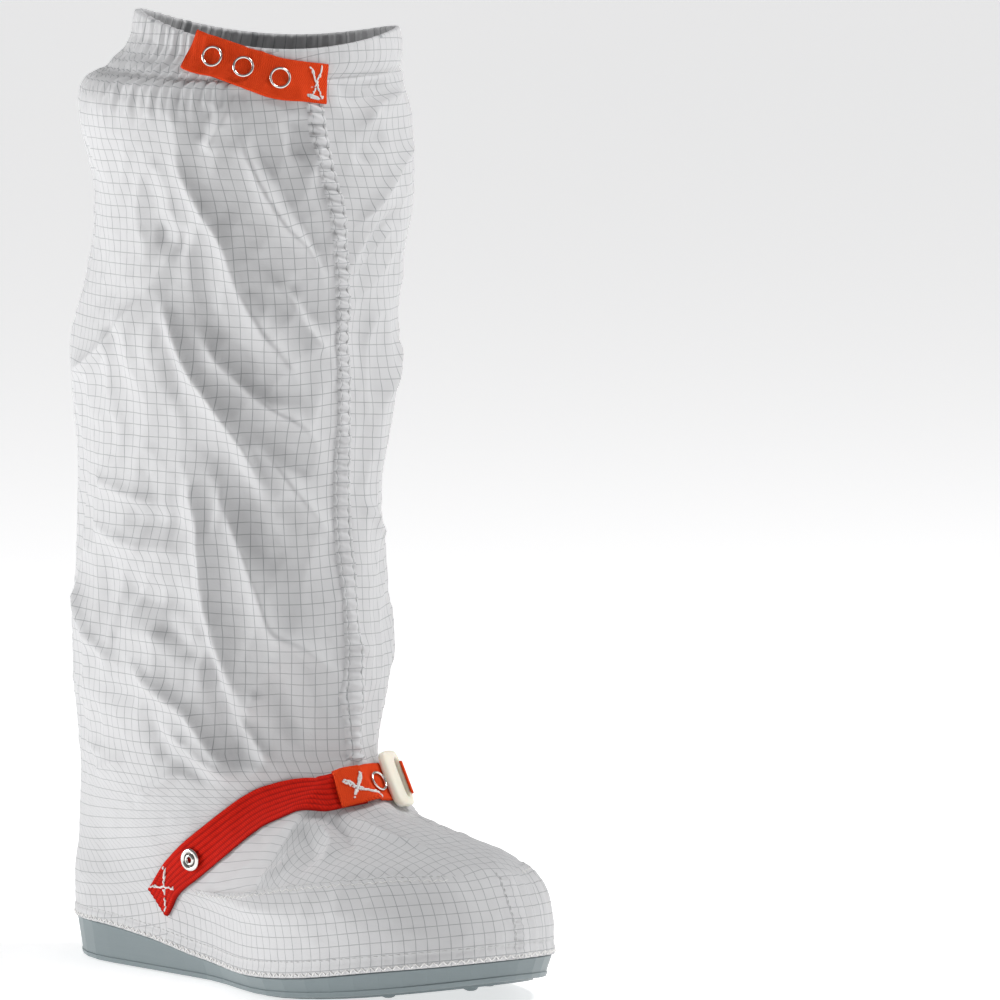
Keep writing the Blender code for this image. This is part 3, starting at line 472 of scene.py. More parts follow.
# Zones of the small relief: lengths in metres, turns in radians
zones = {
    "arc": 0.062,
    "hemCalm": 0.012,
    "topStart": 0.384,
    "topFade": 0.008,
    "shaftStart": 0.085,
    "shaftFade": 0.03,
    "backStart": math.radians(156),
    "backFade": math.radians(22),
    "broadLength": 0.060,
    "middleLength": 0.024,
    "fineLength": 0.0075,
    "gatherMiddle": math.radians(8),
    "gatherHalf": math.radians(62),
    "gatherFade": math.radians(26),
    "gatherStart": 0.366,
    "gatherRise": 0.026,
    "casingStart": 0.3925,
    "casingPuff": 0.0014,
    "casingGroove": 0.0009,
    "hemBandEnd": 0.0052,
    "hemBandRise": 0.00035,
    "hemGroove": 0.00030,
    "hemPitch": 0.0036,
    "panelGroove": 0.0003,
    "toeSeam": 0.005,
    "toeStart": 0.108,
    "toeTop": 0.0590,
    "toeGroove": 0.0005,
    "toeRidge": 0.0006,
    "toePucker": 0.00042,
    "toePitch": 0.0037,
    "pleat": 0.00045,
    "pleatPitch": 0.0056,
    "rope": 0.00030,
    "ropePitch": 0.0034,
}


def bell(distance, width):
    return np.exp(-(distance / width) ** 2)


def foldRelief(points, angle, height, aroundArc):
    # broad and middle waves of the loose cloth, and its fine unevenness
    calmHem = ease((height - hemHeight(angle)) / zones["hemCalm"])
    calmTop = 1 - ease((height - zones["topStart"]) / zones["topFade"])
    shaft = ease((height - zones["shaftStart"]) / zones["shaftFade"])
    diagonal = points.copy()
    diagonal[:, 2] = points[:, 2] * 0.6 - aroundArc * 0.5
    back = 1 - ease((np.abs(angle) - zones["backStart"]) / zones["backFade"])
    broad = waves(diagonal, zones["broadLength"], 3) * (0.25 + 0.75 * shaft)
    folded = (1 - np.abs(waves(diagonal, zones["middleLength"], 7))) * (0.35 + 0.65 * shaft)
    loose = (relief["broad"] / 1000 * broad + relief["middle"] / 1000 * folded) * calmHem * calmTop * back
    return loose + relief["fine"] / 1000 * waves(points, zones["fineLength"], 11, 20) * calmHem


def collarRelief(angle, height, aroundArc):
    # gathers below the collar, and its puffed casing between the stitch line and the edge
    phase = aroundArc / (relief["gatherPitch"] / 1000) * 2 * math.pi
    phase += 1.6 * np.sin(aroundArc / 0.023) + 0.9 * np.sin(aroundArc / 0.0091)
    fromMiddle = np.abs(angle - zones["gatherMiddle"])
    smoothFront = 1 - ease((zones["gatherHalf"] - fromMiddle) / zones["gatherFade"])
    gather = np.cos(phase) * 0.65 + 0.35 * np.cos(phase * 0.5 + 1.1)
    gather *= ease((height - zones["gatherStart"]) / zones["gatherRise"]) * (0.18 + 0.82 * smoothFront)
    above = height - zones["casingStart"]
    casing = np.clip(above / (boot["collarHeight"] - zones["casingStart"]), 0, 1)
    puff = zones["casingPuff"] * np.sin(math.pi * casing) * (0.5 + 0.5 * smoothFront)
    return relief["gather"] / 1000 * gather + puff - zones["casingGroove"] * bell(above, 0.0014)


def hemRelief(angle, height, aroundArc):
    above = height - hemHeight(angle)
    band = zones["hemBandRise"] * ease((zones["hemBandEnd"] - above) / 0.0012)
    groove = zones["hemGroove"] * bell(above - 0.0050, 0.0007)
    pucker = np.cos(aroundArc / zones["hemPitch"] * 2 * math.pi + 2 * np.sin(aroundArc / 0.011))
    return band - groove + relief["hemPucker"] / 1000 * pucker * bell(above - 0.004, 0.006)


def panelRelief(points, angle, height):
    # side panel over the vamp, with a puckered edge
    share = (1 + np.cos(angle)) / 2
    here = ease((share - boot["panelStart"]) / 0.06) * (1 - ease((share - 0.955) / 0.02))
    below = panelLine(angle) - height
    step = ease(below / 0.0016 + 0.5) * ease((0.014 - np.abs(below)) / 0.010)
    rope = np.cos(points[:, 0] / zones["ropePitch"] * 2 * math.pi) * ease((points[:, 0] - 0.075) / 0.03)
    total = relief["panelStep"] / 1000 * step - zones["panelGroove"] * bell(below + 0.0009, 0.0007)
    return (total + zones["rope"] * rope * bell(below - 0.002, 0.004)) * here


def toeRelief(points, height):
    # short seam over the toe, with pleats on its inner side
    away = np.abs(points[:, 1] - zones["toeSeam"])
    here = ease((points[:, 0] - zones["toeStart"]) / 0.010) * ease((zones["toeTop"] - height) / 0.004)
    pucker = np.cos(height / zones["toePitch"] * 2 * math.pi + points[:, 1] * 300)
    pleats = np.cos(points[:, 1] / zones["pleatPitch"] * 2 * math.pi + 1.3 * np.sin(points[:, 1] / 0.008))
    pleats *= ease((points[:, 1] - 0.007) / 0.004) * (1 - ease((points[:, 1] - 0.045) / 0.01))
    total = zones["toeRidge"] * bell(away - 0.0022, 0.0016) - zones["toeGroove"] * bell(away, 0.0007)
    return here * (total + zones["toePucker"] * pucker * bell(away, 0.006) + zones["pleat"] * pleats)


def clothRelief(points, normals, angle, level):
    height = levelHeight(level, angle)
    aroundArc = angle * zones["arc"]
    total = creaseRelief(points, normals) + foldRelief(points, angle, height, aroundArc)
    total += collarRelief(angle, height, aroundArc) + hemRelief(angle, height, aroundArc)
    return total + panelRelief(points, angle, height) + toeRelief(points, height)


def clothPoints(angle, level, proud=0.0):
    shape = np.broadcast_shapes(np.shape(angle), np.shape(level))
    angle = np.broadcast_to(angle, shape).ravel().astype(float)
    level = np.broadcast_to(level, shape).ravel().astype(float)
    points = baseSurface(angle, level)
    normals = baseNormal(angle, level)
    amount = clothRelief(points, normals, angle, level)
    moved = points + normals * (amount + proud)[:, None]
    return moved.reshape(shape + (3,)), normals.reshape(shape + (3,))


def makeMesh(name, points, faces, uv=None, smooth=True):
    mesh = bpy.data.meshes.new(name)
    mesh.from_pydata([tuple(point) for point in points], [], [tuple(face) for face in faces])
    if uv is not None:
        layer = mesh.uv_layers.new(name="UVMap")
        layer.data.foreach_set("uv", np.asarray(uv, np.float32).ravel())
    mesh.validate()
    body = bpy.data.objects.new(name, mesh)
    bpy.context.scene.collection.objects.link(body)
    if smooth:
        mesh.shade_smooth()
    return body


def gridFaces(rows, columns, wrap):
    last = columns if wrap else columns - 1
    index = np.arange(rows * columns).reshape(rows, columns)
    left = index[:-1, :last]
    right = np.roll(index, -1, axis=1)[:-1, :last]
    aboveLeft = index[1:, :last]
    aboveRight = np.roll(index, -1, axis=1)[1:, :last]
    return np.stack((left, right, aboveRight, aboveLeft), axis=-1).reshape(-1, 4)


def newMaterial(name, colour, roughness, **others):
    material = bpy.data.materials.new(name)
    material.use_nodes = True
    shader = material.node_tree.nodes["Principled BSDF"]
    shader.inputs["Base Color"].default_value = (*colour, 1.0)
    shader.inputs["Roughness"].default_value = roughness
    for key, value in others.items():
        shader.inputs[key].default_value = value
    return material, shader


def mathNode(tree, kind, first, second=None, third=None):
    node = tree.nodes.new("ShaderNodeMath")
    node.operation = kind
    for index, value in enumerate((first, second, third)):
        if value is None:
            continue
        if isinstance(value, (int, float)):
            node.inputs[index].default_value = value
        else:
            tree.links.new(value, node.inputs[index])
    return node.outputs[0]


def maths(tree):
    # short form of mathNode for one node tree
    return lambda kind, *values: mathNode(tree, kind, *values)


def noiseNode(tree, vector, scale, detail=2.0):
    node = tree.nodes.new("ShaderNodeTexNoise")
    node.inputs["Scale"].default_value = scale
    node.inputs["Detail"].default_value = detail
    tree.links.new(vector, node.inputs["Vector"])
    return node.outputs[0]


def mixColour(tree, share, first, second):
    node = tree.nodes.new("ShaderNodeMix")
    node.data_type = "RGBA"
    tree.links.new(share, node.inputs[0])
    for index, value in ((6, first), (7, second)):
        if isinstance(value, tuple):
            node.inputs[index].default_value = (*value, 1.0)
        else:
            tree.links.new(value, node.inputs[index])
    return node.outputs[2]


def uvParts(tree):
    coordinates = tree.nodes.new("ShaderNodeTexCoord")
    parts = tree.nodes.new("ShaderNodeSeparateXYZ")
    tree.links.new(coordinates.outputs["UV"], parts.inputs[0])
    return coordinates.outputs["UV"], parts.outputs[0], parts.outputs[1]


def addBump(tree, shader, height, distance, strength=1.0):
    bump = tree.nodes.new("ShaderNodeBump")
    bump.inputs["Distance"].default_value = distance
    bump.inputs["Strength"].default_value = strength
    tree.links.new(height, bump.inputs["Height"])
    tree.links.new(bump.outputs[0], shader.inputs["Normal"])
    return bump


clothLook = {
    "base": (0.60, 0.60, 0.606),
    "line": (0.30, 0.31, 0.32),
    "pitch": 0.0050,
    "lineWidth": 0.00034,
    "roughness": 0.62,
    "fadeScale": 180.0,
    "weaveScale": 900.0,
    "weaveDepth": 0.00012,
}


def clothMaterial():
    material, shader = newMaterial(
        "white grid cloth", clothLook["base"], clothLook["roughness"])
    shader.inputs["Sheen Weight"].default_value = 0.15
    shader.inputs["Sheen Roughness"].default_value = 0.4
    tree = material.node_tree
    calc = maths(tree)
    uv, across, up = uvParts(tree)
    edge = clothLook["lineWidth"] / clothLook["pitch"] / 2
    lines = []
    for part in (across, up):
        cell = calc("FRACT", calc("DIVIDE", part, clothLook["pitch"]))
        lines.append(calc("LESS_THAN", calc("ABSOLUTE", calc("SUBTRACT", cell, 0.5)), edge))
    # lines fade unevenly, as if worn
    worn = calc("ADD", calc("MULTIPLY", noiseNode(tree, uv, clothLook["fadeScale"], 3.0), 0.7), 0.45)
    faint = calc("MULTIPLY", calc("MAXIMUM", lines[0], lines[1]), worn)
    colour = mixColour(tree, faint, clothLook["base"], clothLook["line"])
    tree.links.new(colour, shader.inputs["Base Color"])
    addBump(tree, shader, noiseNode(tree, uv, clothLook["weaveScale"]), clothLook["weaveDepth"], 0.6)
    return material


cloth = clothMaterial()
print("cloth material ready")

# Fine mesh of the upper: rows by height, columns round it, then over the collar edge and down inside;
# lengths in metres
upperMesh = {
    "columns": 300,
    "spacing": 0.00150,
    "edgeRows": 6,
    "insideRows": 34,
    "insideDepth": 0.0062,
    "edgeRadius": 0.0012,
    "throatHeight": 0.105,
    "vampHeight": 0.100,
    "panelLevel": 3.0,
    "vampDrop": 0.75,
    "footTurn": 108,
}
# angle in degrees and height in millimetres of the line, under the strap, where the grid turns
gridTable = np.array((
    (0, 88.8), (20, 87.0), (36, 84.0), (54, 79.0), (73, 70.5), (91, 57.0), (101.5, 44.5), (108.5, 30.0),
))


def upperLevels():
    probe = np.radians([0, 45, 90, 135, 180])
    levels = [0.0]
    for level in range(lastLevel):
        first = baseSurface(probe, np.full(5, float(level)))
        second = baseSurface(probe, np.full(5, level + 1.0))
        length = np.linalg.norm(second - first, axis=1).max()
        spacing = upperMesh["spacing"] * (0.7 if level >= 20 else 1.0) * (0.85 if level < 3 else 1.0)
        count = max(int(round(length / spacing)), 1)
        levels += [level + (index + 1) / count for index in range(count)]
    return np.array(levels)


def makeUpper():
    columns = upperMesh["columns"]
    levels = upperLevels()
    turns = np.linspace(0, 2 * math.pi, columns, endpoint=False)
    turns = np.where(turns > math.pi, turns - 2 * math.pi, turns)
    grid = np.broadcast_to(turns, (len(levels), columns)).copy()
    heights = levelHeight(levels, np.zeros(len(levels)))
    grid += seamAngle(heights)[:, None] * np.cos(turns / 2)[None, :] ** 2
    levelGrid = np.broadcast_to(levels[:, None], grid.shape)
    outer, normals = clothPoints(grid, levelGrid)
    # edge of the collar and inside of the cloth
    top = outer[-1]
    topNormal = normals[-1].copy()
    topNormal[:, 2] = 0
    topNormal /= np.linalg.norm(topNormal, axis=1, keepdims=True)
    radius = upperMesh["edgeRadius"]
    edge = []
    for index in range(1, upperMesh["edgeRows"] + 1):
        turn = math.pi * index / upperMesh["edgeRows"]
        rise = math.sin(turn) * radius
        inward = (1 - math.cos(turn)) * radius
        edge.append(top - topNormal * inward + np.array((0, 0, rise)))
    picks = np.linspace(len(levels) - 2, 0, upperMesh["insideRows"]).astype(int)
    inside = []
    for pick in picks:
        edgeShare = float(np.clip((heights[pick] - 0.388) / 0.008, 0, 1))
        thick = boot["clothThickness"] + (2 * radius - boot["clothThickness"]) * edgeShare
        deep = float(np.clip((0.384 - heights[pick]) / 0.02, 0, 1))
        deep *= float(np.clip((heights[pick] - 0.035) / 0.02, 0, 1))
        soft = baseSurface(grid[pick], levelGrid[pick]) - normals[pick] * upperMesh["insideDepth"]
        inside.append((outer[pick] - normals[pick] * thick) * (1 - deep) + soft * deep)
    rows = list(outer) + edge + inside
    points = np.array(rows).reshape(-1, 3)
    rowCount = len(rows)
    faces = gridFaces(rowCount, columns, True)
    last = (rowCount - 1) * columns
    here = np.arange(columns)
    closing = np.stack((last + here, last + (here + 1) % columns, (here + 1) % columns, here), axis=-1)
    faces = np.vstack((faces, closing))
    # lengths along the cloth for its woven grid
    calm = baseSurface(grid.ravel(), levelGrid.ravel()).reshape(outer.shape)
    stepsAround = np.linalg.norm(np.diff(calm, axis=1, append=calm[:, :1]), axis=2)
    around = np.concatenate((np.zeros((len(levels), 1)), np.cumsum(stepsAround, axis=1)), axis=1)
    stepsUp = np.linalg.norm(np.diff(calm, axis=0), axis=2)
    up = np.concatenate((np.zeros((1, columns)), np.cumsum(stepsUp, axis=0)), axis=0)
    throatRow = int(np.argmin(np.abs(heights - upperMesh["throatHeight"])))
    upShaft = up - up[throatRow]
    strapAngles = np.abs(np.degrees(turns))
    strapHeight = np.interp(strapAngles, gridTable[:, 0], gridTable[:, 1]) / 1000
    throatLevel = levelAt(np.zeros(1), np.full(1, upperMesh["vampHeight"]))[0]
    crest = baseSurface(np.zeros(80), np.linspace(2.0, throatLevel, 80))[::-1]
    crestLength = np.concatenate(([0.0], np.cumsum(np.linalg.norm(np.diff(crest, axis=0), axis=1))))
    crestX = np.maximum.accumulate(crest[:, 0])
    faceRows = np.minimum(faces[:, 0] // columns, len(levels) - 1)
    faceColumns = faces[:, 0] % columns
    foot = levelHeight(levelGrid, grid)[faceRows, faceColumns] < strapHeight[faceColumns]
    foot &= strapAngles[faceColumns] < upperMesh["footTurn"]
    panel = foot & (levelGrid[faceRows, faceColumns] < upperMesh["panelLevel"])
    vamp = foot & ~panel
    uv = np.zeros((len(faces), 4, 2))
    for index, (rowStep, columnStep) in enumerate(((0, 0), (0, 1), (1, 1), (1, 0))):
        row = np.minimum(faceRows + rowStep, len(levels) - 1)
        column = faceColumns + columnStep
        wrapped = column % columns
        sideways = around[row, column]
        sideways = np.where(faceColumns >= columns // 2, sideways - around[row, -1], sideways)
        x, y, z = calm[row, wrapped].T
        drop = np.interp(x, crestX, crest[:, 2]) - z
        upward = np.where(panel, up[row, wrapped], upShaft[row, wrapped])
        uv[:, index, 0] = np.where(vamp, np.interp(x, crestX, crestLength), sideways)
        uv[:, index, 1] = np.where(vamp, y + np.sign(y) * upperMesh["vampDrop"] * drop, upward)
    body = makeMesh("upper_cloth", points, faces, uv.reshape(-1, 2))
    body.data.materials.append(cloth)
    print("upper", len(levels), "rows", rowCount * columns * 2, "triangles")
    return body


upperBody = makeUpper()
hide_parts("upper")
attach(upperBody, "root")

upperTree = BVHTree.FromObject(upperBody, bpy.context.evaluated_depsgraph_get())


def claim(body, slotName, *replaced):
    if replaced:
        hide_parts(*replaced)
    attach(body, "root")


# Threads: each stitch is a short round bar
def makeThreads(name, starts, ends, ups, radius, material, slotName):
    starts = np.asarray(starts)
    ends = np.asarray(ends)
    ups = np.asarray(ups)
    along = ends - starts
    along /= np.maximum(np.linalg.norm(along, axis=1, keepdims=True), 1e-9)
    side = np.cross(along, ups)
    side /= np.maximum(np.linalg.norm(side, axis=1, keepdims=True), 1e-9)
    lift = np.cross(side, along)
    rings = ((0.0, 0.35, -0.5), (0.18, 0.9, 0.2), (0.5, 1.0, 0.45), (0.82, 0.9, 0.2), (1.0, 0.35, -0.5))
    corners = 6
    points = np.zeros((len(starts), len(rings), corners, 3))
    for index, (share, wide, rise) in enumerate(rings):
        middle = starts + (ends - starts) * share + lift * radius * rise
        for corner in range(corners):
            turn = 2 * math.pi * corner / corners
            arm = side * math.cos(turn) + lift * math.sin(turn)
            points[:, index, corner] = middle + arm * radius * wide
    one = gridFaces(len(rings), corners, True)
    faces = (one[None] + np.arange(len(starts))[:, None, None] * len(rings) * corners).reshape(-1, 4)
    body = makeMesh(name, points.reshape(-1, 3), faces)
    body.data.materials.append(material)
    claim(body, slotName)
    return body


threadWhite = newMaterial("white thread", (0.82, 0.81, 0.79), 0.7)[0]
threadGrey = newMaterial("pale grey thread", (0.60, 0.60, 0.60), 0.7)[0]

# Flat felled seam down the front of the shaft
seam = {
    "halfWidth": 0.0041,
    "proud": 0.0014,
    "columns": 15,
    "rows": 460,
    "top": 0.3915,
    "bottom": 0.0985,
    "puckerPitch": 0.0046,
    "pucker": 0.00080,
    "groove": 0.00060,
    "stitchRow": 0.0026,
    "stitchPitch": 0.0031,
    "stitch": 0.0021,
}


def seamPoint(heights, offsets):
    middle = seamAngle(heights)
    level = levelAt(middle, heights)
    step = 0.02
    across = baseSurface(middle + step, level) - baseSurface(middle - step, level)
    size = np.linalg.norm(across, axis=-1) / (2 * step)
    angle = middle + offsets / np.maximum(size, 0.02)
    return angle, levelAt(angle, heights)


def seamRise(heights, offsets):
    share = np.abs(offsets) / seam["halfWidth"]
    flat = seam["proud"] * (1 - ease((share - 0.80) / 0.2)) - 0.00025 * ease((share - 0.9) / 0.1)
    wave = np.sin(heights / seam["puckerPitch"] * 2 * math.pi + 1.9 * np.sin(heights / 0.021) + offsets * 500)
    wave += 0.6 * np.sin(heights / seam["puckerPitch"] * 3.3 + 2.0)
    strength = 0.45 + 0.55 * ease((heights - 0.20) / 0.10)
    groove = bell(np.abs(offsets) - seam["stitchRow"], 0.0006)
    inner = 1 - ease((share - 0.75) / 0.25)
    return flat + (seam["pucker"] * wave * strength - seam["groove"] * groove) * inner


def makeSeam():
    heights = np.linspace(seam["bottom"], seam["top"], seam["rows"])
    offsets = np.linspace(-seam["halfWidth"], seam["halfWidth"], seam["columns"])
    heightGrid, offsetGrid = np.meshgrid(heights, offsets, indexing="ij")
    angle, level = seamPoint(heightGrid.ravel(), offsetGrid.ravel())
    points, normals = clothPoints(angle, level)
    points = points + normals * seamRise(heightGrid.ravel(), offsetGrid.ravel())[:, None]
    faces = gridFaces(len(heights), len(offsets), False)
    flat = np.stack((offsetGrid.ravel(), heightGrid.ravel() - 0.105), axis=-1)
    body = makeMesh("front_seam", points, faces, flat[faces.ravel()])
    body.data.materials.append(cloth)
    claim(body, "cloth")
    starts = []
    ends = []
    ups = []
    for side in (-1, 1):
        bottoms = np.arange(seam["bottom"] + 0.002, seam["top"] - 0.003, seam["stitchPitch"])
        for shift, out in ((0.0, starts), (seam["stitch"], ends)):
            here = np.full(len(bottoms), side * seam["stitchRow"])
            angle, level = seamPoint(bottoms + shift, here)
            points, normals = clothPoints(angle, level)
            out.extend(points + normals * (seamRise(bottoms + shift, here) + 0.00005)[:, None])
            if out is starts:
                ups.extend(normals)
    makeThreads("front_seam_thread", starts, ends, ups, 0.00020, threadGrey, "cloth")


makeSeam()
print("front seam ready")


def clothStitches(name, angles, levels, pitch, stitch, radius, material, zigzag=0.0):
    # stitches along a line on the cloth
    angles = np.asarray(angles)
    levels = np.asarray(levels)
    points, normals = clothPoints(angles, levels, 0.00005)
    lengths = np.concatenate(([0.0], np.cumsum(np.linalg.norm(np.diff(points, axis=0), axis=1))))
    begins = np.arange(0.0, lengths[-1] - stitch, pitch)

    def at(place):
        spot = np.stack([np.interp(place, lengths, points[:, axis]) for axis in range(3)], axis=-1)
        up = np.stack([np.interp(place, lengths, normals[:, axis]) for axis in range(3)], axis=-1)
        return spot, up
    starts, ups = at(begins)
    ends, _ = at(begins + stitch)
    if zigzag:
        along = ends - starts
        across = np.cross(ups, along)
        across /= np.maximum(np.linalg.norm(across, axis=1, keepdims=True), 1e-9)
        sign = np.where(np.arange(len(begins)) % 2 == 0, 1.0, -1.0)[:, None]
        starts = starts - across * sign * zigzag
        ends = ends + across * sign * zigzag
    makeThreads(name, starts, ends, ups, radius, material, "cloth")


allTurns = np.linspace(-math.pi, math.pi, 1400)
clothStitches("hem_stitch", allTurns, np.full(1400, 1.12), 0.0034, 0.0023, 0.00020, threadGrey)
clothStitches("hem_overlock", allTurns, np.full(1400, 0.30), 0.0020, 0.0020, 0.00030, threadWhite, 0.0009)
for side, label in ((-1, "outer"), (1, "inner")):
    panelTurns = side * np.radians(np.linspace(16, 97, 700))
    seamLevels = np.full(700, 2.96)
    edgeLevels = np.full(700, 2.80)
    clothStitches("panel_stitch_" + label, panelTurns, seamLevels, 0.0031, 0.0021, 0.00020, threadGrey)
    clothStitches("panel_overlock_" + label, panelTurns, edgeLevels, 0.0022, 0.0022, 0.00016,
                  threadWhite, 0.0007)
toeLevels = np.linspace(1.2, 3.2, 260)
toeAngles = np.radians(np.linspace(-6, 12, 60))
toeLine = []
for toeLevel in toeLevels:
    toeSides = baseSurface(toeAngles, np.full(60, toeLevel))[:, 1]
    toeLine.append(np.interp(0.0032, toeSides, toeAngles))
clothStitches("toe_stitch", toeLine, toeLevels, 0.0030, 0.0020, 0.00020, threadGrey)
collarLevel = levelAt(np.array([0.0]), np.array([zones["casingStart"]]))[0]
clothStitches("collar_stitch", allTurns, np.full(1400, collarLevel), 0.0032, 0.0022, 0.00020, threadGrey)
print("stitches ready")

# Straps: angle round the boot in degrees, height in millimetres, lift off the cloth in millimetres
bandTables = {
    "outer": (
        (-108.5, 32.2, 0.5), (-101.5, 44.5, 0.5), (-91.0, 57.0, 0.5), (-73.0, 70.3, 0.5),
        (-54.0, 78.4, 0.5), (-36.0, 82.8, 0.5), (-20.0, 85.2, 0.5), (-7.5, 86.3, 0.5),
    ),
    "inner": (
        (108.5, 32.2, 0.5), (101.5, 44.5, 0.5), (91.0, 57.0, 0.5), (73.0, 70.3, 0.5),
        (54.0, 78.4, 0.5), (38.0, 83.2, 0.8), (27.0, 86.0, 3.6),
    ),
    "tab": (
        (-19.5, 85.3, 2.5), (-14.0, 85.9, 2.6), (-9.5, 86.2, 2.6), (-5.0, 86.6, 2.6),
        (-1.0, 86.9, 2.4), (3.5, 87.2, 1.4), (9.5, 87.4, 0.6), (17.5, 87.2, 0.6),
    ),
    "collar": (
        (-71.5, 404.6, 2.2), (-66.0, 403.6, 1.2), (-59.5, 402.2, 0.5), (-43.0, 397.0, 0.5),
        (-25.0, 392.2, 0.5), (-8.5, 389.5, 0.5),
    ),
}
# How a band is laid: rays start above it and reach through the cloth, then it is smoothed from above
drape = {"start": 0.016, "reach": 0.034, "every": 3, "smoothings": 14}


def bandGrid(rows, width, samples, columns):
    table = np.array(rows)
    keys = np.linspace(0, 1, len(table))
    fine = np.linspace(0, 1, 900)
    angle = np.radians(smoothTable(fine, keys, table[:, 0]))
    height = smoothTable(fine, keys, table[:, 1]) / 1000
    lift = smoothTable(fine, keys, table[:, 2]) / 1000
    level = levelAt(angle, height)
    middle = baseSurface(angle, level)
    lengths = np.concatenate(([0.0], np.cumsum(np.linalg.norm(np.diff(middle, axis=0), axis=1))))
    even = np.linspace(0, lengths[-1], samples)
    share = np.interp(even, lengths, fine)
    angle = np.interp(share, fine, angle)
    height = np.interp(share, fine, height)
    lift = np.interp(share, fine, lift)
    level = levelAt(angle, height)
    middle = baseSurface(angle, level)
    normal = baseNormal(angle, level)
    for _ in range(6):
        normal[1:-1] = (normal[:-2] + normal[1:-1] * 2 + normal[2:]) / 4
        middle[1:-1] = (middle[:-2] + middle[1:-1] * 2 + middle[2:]) / 4
    normal /= np.linalg.norm(normal, axis=1, keepdims=True)
    along = np.gradient(middle, axis=0)
    along -= normal * np.einsum("ij,ij->i", along, normal)[:, None]
    along /= np.linalg.norm(along, axis=1, keepdims=True)
    across = np.cross(normal, along)
    offsets = np.linspace(-width / 2, width / 2, columns)
    points = middle[:, None] + across[:, None] * offsets[None, :, None]
    depth = np.zeros((samples, columns))
    known = np.zeros((samples, columns), bool)
    for row in range(samples):
        up = Vector(normal[row])
        for column in range(0, columns, drape["every"]):
            place = Vector(points[row, column])
            hit = upperTree.ray_cast(place + up * drape["start"], -up, drape["reach"])[0]
            if hit is not None:
                depth[row, column] = (hit - place).dot(up)
                known[row, column] = True
    columnsHere = np.arange(columns)
    for row in range(samples):
        if known[row].any():
            depth[row] = np.interp(columnsHere, columnsHere[known[row]], depth[row][known[row]])
    rested = depth.copy()
    for _ in range(drape["smoothings"]):
        softer = rested.copy()
        softer[1:-1] = (rested[:-2] + rested[1:-1] * 2 + rested[2:]) / 4
        softer[:, 1:-1] = (softer[:, :-2] + softer[:, 1:-1] * 2 + softer[:, 2:]) / 4
        rested = np.maximum(depth, softer)
    return points + normal[:, None] * (rested + lift[:, None])[:, :, None], normal, even, offsets


def capFaces(starts, count, columns):
    # close the open ends of a flat tube
    faces = []
    for start in starts:
        for column in range(columns - 1):
            first = start + column
            last = start + count - 1 - column
            faces.append((first, first + 1, last - 1, last))
    return np.array(faces)


def makeBand(name, rows, width, thickness, samples, columns, ribs, ribHeight, material, slotName, node):
    under, normal, lengths, offsets = bandGrid(rows, width, samples, columns)
    across = offsets / width + 0.5
    rib = ribHeight * np.abs(np.sin(across * ribs * math.pi)) ** 0.6 if ribs else np.zeros(columns)
    edge = 1 - np.clip(np.abs(across - 0.5) * 2 - 0.92, 0, 1) / 0.08 * 0.35
    over = under + normal[:, None] * ((thickness * edge + rib)[None, :, None])
    grid = np.concatenate((over, under[:, ::-1]), axis=1)
    count = grid.shape[1]
    faces = gridFaces(samples, count, True)
    faces = np.vstack((faces, capFaces((0, (samples - 1) * count), count, columns)))
    flat = np.zeros((samples, count, 2))
    flat[:, :, 0] = lengths[:, None]
    flat[:, :columns, 1] = offsets[None]
    flat[:, columns:, 1] = offsets[None, ::-1]
    body = makeMesh(name, grid.reshape(-1, 3), faces, flat.reshape(-1, 2)[faces.ravel()])
    body.data.materials.append(material)
    claim(body, slotName, node)
    return over, normal, lengths, offsets


def bandSpot(band, share, across):
    over, normal, lengths, offsets = band
    row = share * (len(lengths) - 1)
    column = across * (len(offsets) - 1)
    low = int(min(max(row, 0), len(lengths) - 2))
    left = int(min(max(column, 0), len(offsets) - 2))
    a = row - low
    b = column - left
    spot = ((over[low, left] * (1 - b) + over[low, left + 1] * b) * (1 - a)
            + (over[low + 1, left] * (1 - b) + over[low + 1, left + 1] * b) * a)
    return spot, normal[low]


# Weave of the straps: pitches across and along and depth in metres, slant of its rows
weaves = {
    "elastic": {"across": 0.0024, "along": 0.00105, "slant": 0.9, "depth": 0.00035},
    "tape": {"across": 0.0009, "along": 0.0009, "slant": 0.8, "depth": 0.00025},
}


def bandMaterial(name, colour, weaveShade, kind):
    material, shader = newMaterial(name, colour, 0.8)
    shader.inputs["Specular IOR Level"].default_value = 0.15
    look = weaves[kind]
    tree = material.node_tree
    calc = maths(tree)
    uv, along, across = uvParts(tree)
    cell = calc("DIVIDE", across, look["across"])
    if kind == "elastic":
        cell = calc("FRACT", calc("ADD", cell, 0.5))
    else:
        cell = calc("PINGPONG", cell, 1.0)
    phase = calc("ADD", calc("DIVIDE", along, look["along"]), calc("MULTIPLY", cell, look["slant"]))
    wave = calc("SINE", calc("MULTIPLY", phase, 2 * math.pi))
    share = calc("MULTIPLY_ADD", wave, 0.5, 0.5)
    # grooves between the elastic's ribs go to the painted shade colour, and the bump sinks there too
    if kind == "elastic":
        middle = calc("ABSOLUTE", calc("MULTIPLY_ADD", cell, 2.0, -1.0))
        groove = calc("SUBTRACT", 1.0, calc("POWER", middle, 3.0))
        share = calc("MULTIPLY", calc("MULTIPLY_ADD", share, 0.55, 0.45), groove)
    share = calc("MULTIPLY_ADD", noiseNode(tree, uv, 700.0), 0.35, calc("MULTIPLY", share, 0.65))
    # low parts of the weave take the painted shade colour; the noise mixed in above gives random tone
    tree.links.new(mixColour(tree, share, weaveShade, colour), shader.inputs["Base Color"])
    addBump(tree, shader, share, look["depth"], 0.9)
    return material


# the second colour of each strap is painted shade for the low parts of its weave
elastic = bandMaterial("red ribbed elastic", (0.76, 0.014, 0.002), (0.24, 0.002, 0.001), "elastic")
tape = bandMaterial("orange red herringbone tape", (0.95, 0.095, 0.012), (0.52, 0.014, 0.002), "tape")

